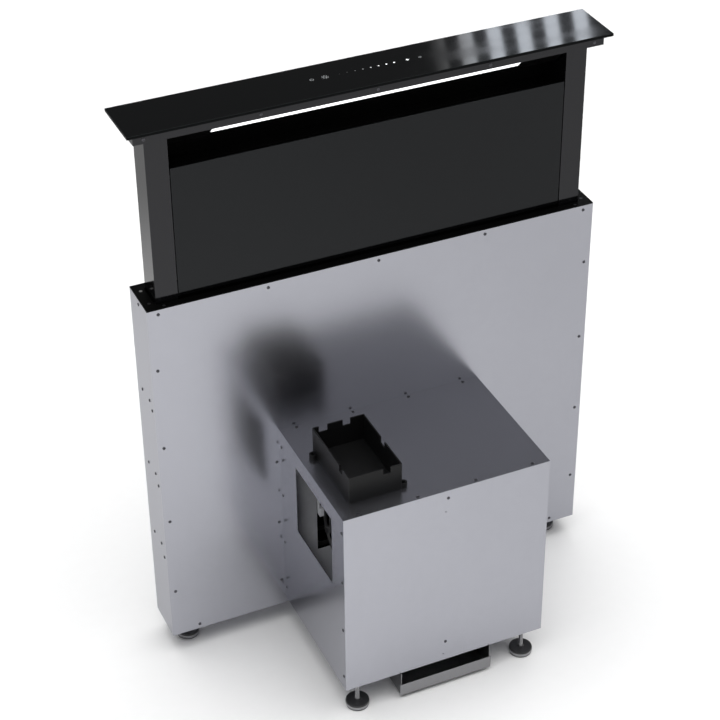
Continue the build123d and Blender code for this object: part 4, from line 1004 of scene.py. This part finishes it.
@dataclass
class Gland(Assembly):
    """The cable gland on the right of the box: a hexagon on a stem, a ribbed cap and a rubber seal."""

    sides: int = 40
    flats: int = 6
    bore: float = 0.0045
    seal: float = 0.0016
    stand: float = 0.0200
    chamfer: float = 0.93
    stem_r: float = 0.0100
    stem_ease: float = 0.0006
    nut_h: float = 0.0100
    ease: float = 0.0008
    ribs: int = 24
    rib_arris: float = 0.0002
    rib_low: Place = (0.0092, -0.0005, 0.0108)
    rib_high: Place = (0.0102, 0.0005, 0.0134)
    cap_side: Profile = ((0.0098, 0.0100), (0.0100, 0.0106), (0.0100, 0.0132))
    cap_round: Profile = ((0.0092, 0.0152), (0.0078, 0.0161))
    cap_top: float = 0.0162
    seal_low: float = 0.0090
    seal_top: Profile = ((0.0061, 0.0160), (0.0053, 0.0165), (0.0045, 0.0159))

    def build(self) -> None:
        """Builds the gland."""
        low, high, middle = extent("cable_gland")
        bore, lip = self.bore, self.bore + self.seal
        wide = (high.y - low.y) / 2
        wall = high.x - self.stand
        at = Matrix.Translation((0.0, middle.y, middle.z)) @ Matrix.Rotation(math.pi / 2, 4, "Y")
        slope, ease, nut, stem = wide * self.chamfer, self.ease, self.nut_h, self.stem_r
        nut_side = ((slope, 0.0), (wide, ease), (wide, nut - ease), (slope, nut))
        body = Shape().lathe(closed(wall, (bore, 0.0), *nut_side, (bore, nut)), self.flats, at)
        stem_side = ((stem - self.stem_ease, low.x), (stem, low.x + ease), (stem, wall))
        body.lathe(closed(0.0, (bore, low.x), *stem_side, (bore, wall)), self.sides, at)
        cap = closed(wall, (lip, nut), *self.cap_side, *self.cap_round, (lip, self.cap_top))
        body.lathe(cap, self.sides, at)
        for step in range(self.ribs):
            spin = at @ Matrix.Rotation(math.tau * step / self.ribs, 4, "Z")
            up = Vector((0.0, 0.0, wall))
            body.block(Vector(self.rib_low) + up, Vector(self.rib_high) + up, self.rib_arris, spin)
        self.shop.add("gland_body", "casing", body, BLACK_PLASTIC, "black_plastic", ("cable_gland",))
        ring = closed(wall, (bore, self.seal_low), (lip, self.seal_low), *self.seal_top)
        seal = Shape().lathe(ring, self.sides, at)
        self.shop.add("gland_seal", "casing", seal, RUBBER, "belt_rubber")


class Blower(Assembly):
    """The scroll with its double wheel, motor, guard and hangers."""

    def build(self) -> None:
        """Dresses the blower."""
        # Painted light: the scroll and its hangers take the lighter copy of the galvanised sheet.
        self.shop.dress(GALVANISED_PAINTED_LIGHT, "blower_scroll", "blower_hangers", arris=0.0003)
        self.shop.dress(WIRE, "inlet_guard", "motor_bracket")
        self.shop.dress(MOTOR, "blower_motor", arris=0.0006)
        self.shop.dress(WHEEL_PLASTIC, "impeller", arris=0.0002)
        self.shop.dress(ZINC, "blower_shaft", arris=0.0003)


# ---- lift ----
@dataclass
class Lift(Assembly):
    """The gearmotor, the two screws with their pulleys and the belt."""

    crest: float = 0.0070
    root: float = 0.0057
    pitch: float = 0.0050
    starts: int = 4
    journal: float = 0.0040
    runout: float = 0.0022
    ease: float = 0.0006
    thread_low: float = 0.0060
    thread_end: float = 0.0015
    point: float = 0.0017
    point_in: float = 0.0015
    teeth: int = 25
    tooth: Profile = ((0.0, -0.0016), (0.32, -0.0016), (0.42, 0.0), (0.9, 0.0))
    pulley_r: float = 0.0200
    flange_r: float = 0.0235
    flange: float = 0.0015
    flange_ease: float = 0.0003
    flange_sides: int = 48

    def screw(self, side: str) -> None:
        """Builds one lead screw: a plain journal and a four-start thread.

        Args:
            side: left or right.
        """
        low, high, middle = extent(f"{side}_lead_screw")
        pulley_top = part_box(f"{side}_pulley")[1].z - low.z
        length = high.z - low.z
        crest, root = self.crest, self.root
        z0, z1 = pulley_top + self.thread_low, length - self.thread_end
        shape = Shape().thread(crest, root, self.pitch, self.starts, z0, z1)
        neck = pulley_top + self.journal
        foot = [(0.0, 0.0), (crest - self.ease, 0.0), (crest, self.ease), (crest, neck)]
        shape.lathe([*foot, (root, neck + self.runout), (0.0, neck + self.runout)])
        start = length - self.point
        shape.lathe([(0.0, start), (root, start), (root - self.point_in, length), (0.0, length)])
        name, origin = f"{side}_threaded_screw", (middle.x, middle.y, low.z)
        self.shop.add(name, f"{side}_screw", shape, ZINC, "zinc_steel", (f"{side}_lead_screw",), origin)

    def pulley(self, side: str) -> None:
        """Builds one toothed pulley between its flanges.

        Args:
            side: left or right.
        """
        low, high, middle = extent(f"{side}_pulley")
        height = high.z - low.z
        outline = [
            on_circle(self.pulley_r + depth, math.tau * (tooth + share) / self.teeth)
            for tooth in range(self.teeth)
            for share, depth in self.tooth
        ]
        shape = Shape().prism(outline, self.flange / 2, height - self.flange / 2)
        edge, ease = self.flange_r, self.flange_ease
        for z0, z1 in ((0.0, self.flange), (height - self.flange, height)):
            rim = [(edge - ease, z0), (edge, z0 + ease), (edge, z1 - ease), (edge - ease, z1)]
            shape.lathe(closed(0.0, (self.crest, z0), *rim, (self.crest, z1)), self.flange_sides)
        name, origin = f"{side}_toothed_pulley", (middle.x, middle.y, low.z)
        self.shop.add(name, f"{side}_screw", shape, RAIL, "aluminium_rail", (f"{side}_pulley",), origin)

    def build(self) -> None:
        """Builds the screws and pulleys, and dresses the rest of the lift."""
        for side in SIDES:
            self.screw(side)
            self.pulley(side)
        self.shop.dress(MOTOR, "lift_motor", arris=0.0006)
        self.shop.dress(RUBBER, "sync_belt", arris=0.0002)
        self.shop.dress(BRASS, "lift_nuts")
        self.shop.dress(WHITE_PLASTIC, "glide_shoes", arris=0.0006)


# ---- riser ----
class Riser(Assembly):
    """The black frame that the motor lifts, with its light and its touch board."""

    def build(self) -> None:
        """Dresses the frame."""
        self.shop.dress(ENAMEL, "left_post", "right_post", "riser_header", arris=0.0005)
        self.shop.dress(INNER_ENAMEL, "riser_back_panel", "light_carrier", "filter_frame", "apron_beam")
        self.shop.dress(OPAL, "led_strip", arris=0.0003)
        self.shop.dress(BOARD, "touch_board", arris=0.0002)


@dataclass
class GlassCap(Assembly):
    """The glass cap with its ground edges and the lit touch marks in its top."""

    film: float = 0.00006
    arris: float = 0.0009
    steep: float = 0.5
    crease: float = 50.0
    mark_y: float = 0.1445
    dot_r: float = 0.0017
    dot_least: float = 0.6
    dot_first: float = -0.0484
    dot_pitch: float = 0.01432
    dots: int = 8
    dot_sides: int = 24
    switch_x: float = -0.0980
    lamp_x: float = -0.0740
    plus_x: float = 0.0764
    arrow_xs: Point = (0.0985, 0.1011)
    arc_step: float = 15.0
    sign_r: float = 0.0030
    stroke: float = 0.0008
    lamp_stroke: float = 0.0009
    switch_gap: Point = (125.0, 415.0)
    switch_rise: float = 0.0026
    hand: float = 0.0034
    rays: int = 8
    ray: float = 0.0022
    ray_r: float = 0.0055
    arrow_rise: float = 0.0012
    arrow_turn: float = 35.0
    plus: float = 0.0056
    plus_stroke: float = 0.0016

    def film_span(self) -> Point:
        """The lower and the upper side of the film that the marks are in."""
        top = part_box("cap_glass")[1].z
        return top - self.film, top

    def glass(self) -> None:
        """Builds the glass, whose edges are ground."""
        low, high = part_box("cap_glass")
        shape = Shape().block(low, (high.x, high.y, self.film_span()[0]), self.arris)
        mesh = self.shop.add(
            "polished_cap", "riser", shape, CAP_GLASS, "black_glass", ("cap_glass",), crease=self.crease
        )
        mesh.materials.append(GLASS_EDGE.material())
        for face in mesh.polygons:
            face.material_index = 1 if abs(face.normal.z) < self.steep else 0

    def ring(self, shape: Shape, x: float, width: float, start: float = 0.0, end: float = 360.0) -> None:
        """Adds an arc of a thin ring to a symbol.

        Args:
            shape: the symbol.
            x: the arc's middle.
            width: its width.
            start: where it starts, in degrees from the right.
            end: where it ends.
        """
        steps = int((end - start) / self.arc_step)
        angles = [math.radians(start + (end - start) * step / steps) for step in range(steps + 1)]
        inner, outer = self.sign_r - width / 2, self.sign_r + width / 2
        for a, b in zip(angles, angles[1:]):
            corners = [on_circle(*corner) for corner in ((inner, a), (outer, a), (outer, b), (inner, b))]
            shape.prism([(x + across, self.mark_y + up) for across, up in corners], *self.film_span())

    def bar(self, shape: Shape, place: Point, length: float, width: float, turn: float) -> None:
        """Adds a straight stroke to a symbol.

        Args:
            shape: the symbol.
            place: its middle, with y from the line of the marks.
            length: its length.
            width: its width.
            turn: its angle in degrees.
        """
        z0, z1 = self.film_span()
        turned = Matrix.Rotation(math.radians(turn), 4, "Z")
        at = Matrix.Translation((place[0], self.mark_y + place[1], 0.0)) @ turned
        shape.block((-length / 2, -width / 2, z0), (length / 2, width / 2, z1), at=at)

    def marks(self) -> None:
        """Builds the touch marks: a scale of dots, a switch, a lamp, an up-down pair and a plus."""
        z0, z1 = self.film_span()
        dots, signs, plus = Shape(), Shape(), Shape()
        for step in range(self.dots):
            radius = self.dot_r * (self.dot_least + (1.0 - self.dot_least) * step / (self.dots - 1))
            at = Matrix.Translation((self.dot_first + self.dot_pitch * step, self.mark_y, 0.0))
            dots.lathe([(0.0, z0), (radius, z0), (radius, z1), (0.0, z1)], self.dot_sides, at)
        self.ring(signs, self.switch_x, self.stroke, *self.switch_gap)
        self.bar(signs, (self.switch_x, self.switch_rise), self.hand, self.stroke, 90.0)
        self.ring(signs, self.lamp_x, self.lamp_stroke)
        for step in range(self.rays):
            turn = 360.0 * step / self.rays
            across, up = on_circle(self.ray_r, math.radians(turn))
            self.bar(signs, (self.lamp_x + across, up), self.ray, self.lamp_stroke, turn)
        for side in (-1, 1):
            for x, turn in zip(self.arrow_xs, (self.arrow_turn, -self.arrow_turn)):
                self.bar(signs, (x, side * self.arrow_rise), self.hand, self.stroke, turn * side)
        for turn in (0, 90):
            self.bar(plus, (self.plus_x, 0.0), self.plus, self.plus_stroke, turn)
        marks = (("scale", dots, SCALE_DOTS), ("symbols", signs, SYMBOL), ("plus", plus, BRIGHT_SYMBOL))
        for name, shape, finish in marks:
            self.shop.add(f"touch_{name}", "riser", shape, finish, "light_diffuser")

    def build(self) -> None:
        """Builds the glass and the marks in it."""
        self.glass()
        self.marks()


class FrontPanel(Assembly):
    """The glass front panel on its folded backing."""

    def build(self) -> None:
        """Dresses the panel."""
        self.shop.dress(PANEL_GLASS, "front_panel", arris=0.0006)
        self.shop.dress(INNER_ENAMEL, "panel_backing")


@dataclass
class Filters(Assembly):
    """The two grease filters: cassettes with a face of expanded metal on each side."""

    thick: float = 0.009
    border: float = 0.012
    recess: float = 0.003
    cell: float = 0.0125
    rise: float = 0.0072
    strand: float = 0.0012
    sheet: float = 0.0007
    lean: float = 0.0006

    def lattice(self, low: Vector, high: Vector, y: float, out: float) -> Shape:
        """Builds a face of expanded metal from zigzag strands.

        Args:
            low: the cassette's lowest corner.
            high: its highest corner.
            y: the plane that the metal lies on.
            out: the way that it faces, 1 for the back.

        Returns:
            Its shape.
        """
        x0, x1 = low.x + self.border, high.x - self.border
        z0, z1 = low.z + self.border, high.z - self.border
        count = int(round((x1 - x0) / (self.cell / 2)))
        rows = int((z1 - z0) / (self.rise / 2))
        step = (x1 - x0) / count
        climb = (z1 - z0) / rows
        shape = Shape()
        near, far = y, y + out * self.sheet
        half, lean = self.strand / 2, out * self.lean
        for row in range(rows):
            line = []
            for post in range(count + 1):
                z = z0 + (row + (post + row) % 2) * climb
                held = min(max(z, z0 + half), z1 - half)
                foot, top = held - half, held + half
                ring = ((near, foot), (near + lean, top), (far + lean, top), (far, foot))
                x = x0 + post * step
                line.append([shape.bm.verts.new((x, depth, height)) for depth, height in ring])
            for before, after in zip(line, line[1:]):
                shape.band(before, after, 4)
            shape.bm.faces.new(line[0])
            shape.bm.faces.new(line[-1][::-1])
        return shape

    def build(self) -> None:
        """Dresses the cassettes and builds their faces."""
        for side in SIDES:
            self.shop.dress(FLAP, f"{side}_filter")
            low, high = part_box(f"{side}_filter")
            back, front = high.y, high.y - self.thick
            for face, y, out in (("front", front + self.recess, -1.0), ("back", back - self.recess, 1.0)):
                name = f"{side}_filter_{face}_mesh"
                self.shop.add(name, f"{side}_filter", self.lattice(low, high, y, out), MESH, "filter_mesh")


# ---- feet ----
@dataclass
class Feet(Assembly):
    """The four levelling feet: a steel cup and stud, a rubber sole, a gloss plastic cover and a nut."""

    names: Sequence[str] = ("casing_left_foot", "casing_right_foot", "box_left_foot", "box_right_foot")
    sides: int = 64
    disc_r: float = 0.0220
    sole: float = 0.0025
    sole_in: float = 0.0008
    sole_slope: Point = (0.0010, 0.0006)
    cup_top: float = 0.0088
    cup_low_ease: float = 0.0004
    cup_ease: float = 0.0006
    disc_top: float = 0.0120
    shoulder: float = 0.0020
    bends: int = 4
    collar: Profile = ((0.0075, 0.0), (0.0062, 0.0004), (0.0056, 0.0018), (0.0040, 0.0018))
    crest: float = 0.0040
    root: float = 0.00355
    pitch: float = 0.00125
    sunk: float = 0.0010
    crease: float = 40.0

    def steel(self, stud_top: float) -> Shape:
        """Builds the cup and the stud.

        Args:
            stud_top: how high the stud ends.

        Returns:
            Their shape.
        """
        edge, sole, cup = self.disc_r, self.sole, self.cup_top
        low, ease = self.cup_low_ease, self.cup_ease
        side = [(edge - low, sole), (edge, sole + low), (edge, cup - ease), (edge - ease, cup)]
        shape = Shape().thread(self.crest, self.root, self.pitch, 1, self.disc_top - self.sunk, stud_top)
        return shape.lathe([(0.0, sole), *side, (0.0, cup)], self.sides)

    def cover(self) -> Shape:
        """Builds the plastic cover with its rounded shoulder and its collar round the stud.

        Returns:
            Its shape.
        """
        cup, top, shoulder = self.cup_top, self.disc_top, self.shoulder
        rim = self.disc_r - self.cup_low_ease
        profile = [(self.crest, cup), (rim, cup), (rim, top - shoulder)]
        for step in range(1, self.bends + 1):
            out, up = on_circle(shoulder, math.pi / 2 * step / self.bends)
            profile.append((rim - shoulder + out, top - shoulder + up))
        profile += [(radius, top + height) for radius, height in self.collar]
        return Shape().lathe([*profile, (self.crest, cup)], self.sides)

    def rubber(self) -> Shape:
        """Builds the rubber sole.

        Returns:
            Its shape.
        """
        edge = self.disc_r - self.sole_in
        slope, height = self.sole_slope
        profile = [(0.0, 0.0), (edge - slope, 0.0), (edge, height), (edge, self.sole), (0.0, self.sole)]
        return Shape().lathe(profile, self.sides)

    def build(self) -> None:
        """Builds the feet and dresses their nuts."""
        for name in self.names:
            _, high, middle = extent(name)
            origin = (middle.x, middle.y, 0.0)
            pieces = (
                ("disc", self.steel(high.z), FOOT_STEEL, "foot_steel", (name,), self.crease),
                ("cover", self.cover(), GLOSS_PLASTIC, "black_plastic", (), CREASE),
                ("sole", self.rubber(), RUBBER, "belt_rubber", (), CREASE),
            )
            for kind, shape, finish, slot, stands_for, crease in pieces:
                self.shop.add(f"{name}_{kind}", name, shape, finish, slot, stands_for, origin, crease)
        self.shop.dress(ZINC, "foot_nuts")


# ---- studio ----
@dataclass(frozen=True)
class Lamp:
    """A square soft lamp: where it hangs, what it points at, its side and its power in watts."""

    name: str
    at: Place
    aim: Place
    size: float
    power: float


@dataclass
class Studio:
    """The white floor, the soft lamps, the room and the camera."""

    eye: Place = (-1.2414, -2.6202, 2.6202)
    right: Place = (0.9143, -0.4051, 0.0)
    up: Place = (0.2309, 0.5212, 0.8217)
    back: Place = (-0.3329, -0.7512, 0.5700)
    roll: float = -0.61
    lens: float = 100.66
    sensor: float = 36.0
    sight: Point = (0.05, 100.0)
    floor_half: float = 24.0
    floor_drop: float = 0.0002
    floor_grey: float = 0.97
    floor_dust: float = 0.03
    dust_scale: float = 40.0
    floor_bounce: float = 0.5
    floor_lift: float = 0.02
    # Painted shade on the floor as the glossy pieces see it: darker all over, towards the right and towards
    # the back.
    floor_painted_shade: float = 0.05
    painted_shade_right: Ramp = Ramp(-0.2, 1.0, 0.0, 0.2)
    painted_shade_back: Ramp = Ramp(1.15, 1.85, 0.0, 0.5)
    far: Ramp = Ramp(2.5, 5.0)
    wall: Ramp = Ramp(0.10, 0.75, 1.0, 0.10)
    wall_behind: Ramp = Ramp(0.15, 0.6, 1.0, 0.0)
    wall_low: Ramp = Ramp(0.0, 0.30, 1.0, 0.0)
    room_least: float = 0.08
    overhead: Ramp = Ramp(0.62, 0.98, 0.0, 3.12)
    stripe_turn: float = -62.206
    stripe_climb: float = -15.848
    stripe_start: float = 73.181
    stripe: Ramp = Ramp(-0.35, 0.45)
    stripe_first: Ramp = Ramp(-3.5, -0.7)
    stripe_last: Ramp = Ramp(2.2, 2.9, 1.0, 0.0)
    window_climb: float = 0.46
    window_half: Ramp = Ramp(0.06, 0.10, 1.0, 0.0)
    window_least: float = 0.2
    window_light: float = 4.2
    window_tint: Colour = (0.95, 1.00, 1.08)
    key: Lamp = Lamp("key", (2.6, -2.0, 3.0), (0.0, 0.0, 0.4), 2.2, 8.0)
    fill: Lamp = Lamp("fill", (-1.6, -2.4, 2.9), (-0.1, 0.0, 0.35), 0.8, 32.0)

    def camera(self) -> None:
        """Sets the camera where the photograph was taken from."""
        made = bpy.data.cameras.new("camera")
        made.lens = self.lens
        made.sensor_width = self.sensor
        made.clip_start, made.clip_end = self.sight
        camera = put("camera", made)
        turn = math.radians(self.roll)
        across, climb = Vector(self.right), Vector(self.up)
        level = math.cos(turn) * across + math.sin(turn) * climb
        plumb = math.cos(turn) * climb - math.sin(turn) * across
        columns = Matrix((level, plumb, Vector(self.back))).transposed().to_4x4()
        camera.matrix_world = Matrix.Translation(self.eye) @ columns
        bpy.context.scene.camera = camera

    def floor(self) -> Piece:
        """Lays the pale floor with its shadow; far out the camera sees it as pure white.

        Returns:
            The floor.
        """
        half = self.floor_half
        shape = Shape()
        corners = ((-half, -half, 0), (half, -half, 0), (half, half, 0), (-half, half, 0))
        shape.bm.faces.new([shape.bm.verts.new(corner) for corner in corners])
        made = put("floor", shape.mesh("floor"))
        made.location = (0.0, 0.0, -self.floor_drop)
        material = bpy.data.materials.new("white floor")
        material.use_nodes = True
        self.paint_floor(Graph(material.node_tree))
        made.data.materials.append(material)
        return made

    def paint_floor(self, graph: Graph) -> None:
        """Paints the floor: in reflections it carries painted shade, a little darker all over and darker
        towards the right and the back; it is also darker to the light that bounces off it.

        Args:
            graph: the nodes of its material.
        """
        place = graph.place()
        eye, glossy = graph.ray(Ray.CAMERA), graph.ray(Ray.GLOSSY)
        seen = graph.maths("MAXIMUM", eye, glossy)
        side, back, _ = graph.parts(place)
        # Painted shade: glossy rays see the floor darker all over, and darker still towards the right and
        # the back.
        painted_shade = graph.ramp(side, self.painted_shade_right) + graph.ramp(back, self.painted_shade_back) + self.floor_painted_shade
        dust = graph.noise(place, self.dust_scale, 3.0) * self.floor_dust
        grey = self.floor_grey + dust - glossy * painted_shade - (1.0 - seen) * self.floor_bounce
        lit = graph.out("ShaderNodeBsdfDiffuse", 0, None, {"Color": graph.shaded(WHITE, grey)})
        glow = graph.out("ShaderNodeEmission", 0, None, {"Color": rgba(WHITE), "Strength": 1.0})
        far = graph.ramp(graph.length(place), self.far)
        share = graph.maths("MAXIMUM", seen * self.floor_lift, eye * far)
        mix = graph.out("ShaderNodeMixShader", 0, None, {0: share, 1: lit, 2: glow})
        graph.node("ShaderNodeOutputMaterial", None, {"Surface": mix})

    def striped_lamp(self, graph: Graph, turn: Signal, climb: Signal) -> tuple[Signal, Signal]:
        """Makes the striped lamp that only the glossy pieces see.

        Args:
            graph: the world's nodes.
            turn: how far round a ray goes.
            climb: how steeply it rises.

        Returns:
            Where the lamp is, and its light there.
        """
        count = turn * self.stripe_turn + climb * self.stripe_climb + self.stripe_start
        stripe = graph.ramp(graph.maths("COSINE", count * math.tau), self.stripe)
        ends = graph.ramp(count, self.stripe_first) * graph.ramp(count, self.stripe_last)
        window = ends * graph.ramp(abs(climb - self.window_climb), self.window_half)
        return window, window * (self.window_least + stripe * self.window_light)

    def world(self) -> None:
        """Makes the room.

        The camera sees it white. In reflections it is pale low down and dark overhead, with a striped lamp
        behind. All other light comes softly from straight above.
        """
        made = bpy.data.worlds.new("studio")
        made.use_nodes = True
        bpy.context.scene.world = made
        graph = Graph(made.node_tree)
        x, y, z = graph.parts(graph.out("ShaderNodeTexCoord", "Generated"))
        nearer = graph.maths("MAXIMUM", graph.ramp(y, self.wall_behind), graph.ramp(z, self.wall_low))
        room = graph.ramp(z, self.wall) * nearer + self.room_least
        turn, climb = graph.maths("ARCTAN2", y, x), graph.maths("ARCSINE", z)
        window, lamp = self.striped_lamp(graph, turn, climb)
        seen, glossy = graph.ray(Ray.CAMERA), graph.ray(Ray.GLOSSY)
        light = glossy * (room + lamp) + (1.0 - glossy) * graph.ramp(z, self.overhead)
        light = seen + (1.0 - seen) * light
        tint = graph.blend(window * glossy, rgba(WHITE), rgba(self.window_tint))
        shell = graph.out("ShaderNodeBackground", 0, None, {"Color": tint, "Strength": light})
        graph.node("ShaderNodeOutputWorld", None, {"Surface": shell})

    def hang(self, lamp: Lamp) -> Piece:
        """Hangs one lamp, which the glossy pieces don't mirror.

        Args:
            lamp: the lamp.

        Returns:
            Its object.
        """
        data = bpy.data.lights.new(lamp.name, "AREA")
        data.shape = "SQUARE"
        data.size = lamp.size
        data.energy = lamp.power
        made = put(lamp.name, data)
        made.location = lamp.at
        made.rotation_euler = (Vector(lamp.at) - Vector(lamp.aim)).to_track_quat("Z", "Y").to_euler()
        made.visible_glossy = False
        return made

    def keep_off(self, lamp: Piece, piece: Piece) -> None:
        """Keeps the light of a lamp off one piece.

        Args:
            lamp: the lamp.
            piece: the piece that it doesn't light.
        """
        group = bpy.data.collections.new(f"not lit by the {lamp.name}")
        group.objects.link(piece)
        lamp.light_linking.receiver_collection = group
        group.collection_objects[0].light_linking.link_state = "EXCLUDE"

    def build(self) -> None:
        """Sets up the studio."""
        self.camera()
        floor = self.floor()
        self.world()
        self.hang(self.key)
        self.keep_off(self.hang(self.fill), floor)
        bpy.context.scene.view_settings.view_transform = "Standard"


def main() -> None:
    """Builds the studio and the vent, sub-assembly by sub-assembly."""
    logging.basicConfig(level=logging.INFO, format="%(message)s")
    shop = Workshop(frame["nodes"])
    Studio().build()
    for kind in (Casing, MotorBox, Gland, Blower, Lift, GlassCap, Riser, FrontPanel, Filters, Feet, Screws):
        kind(shop).build()
    bare = sorted(set(shop.nodes) - shop.dressed)
    LOG.info("pieces without a finish: %s", bare or "none")


if __name__ == "__main__":
    main()
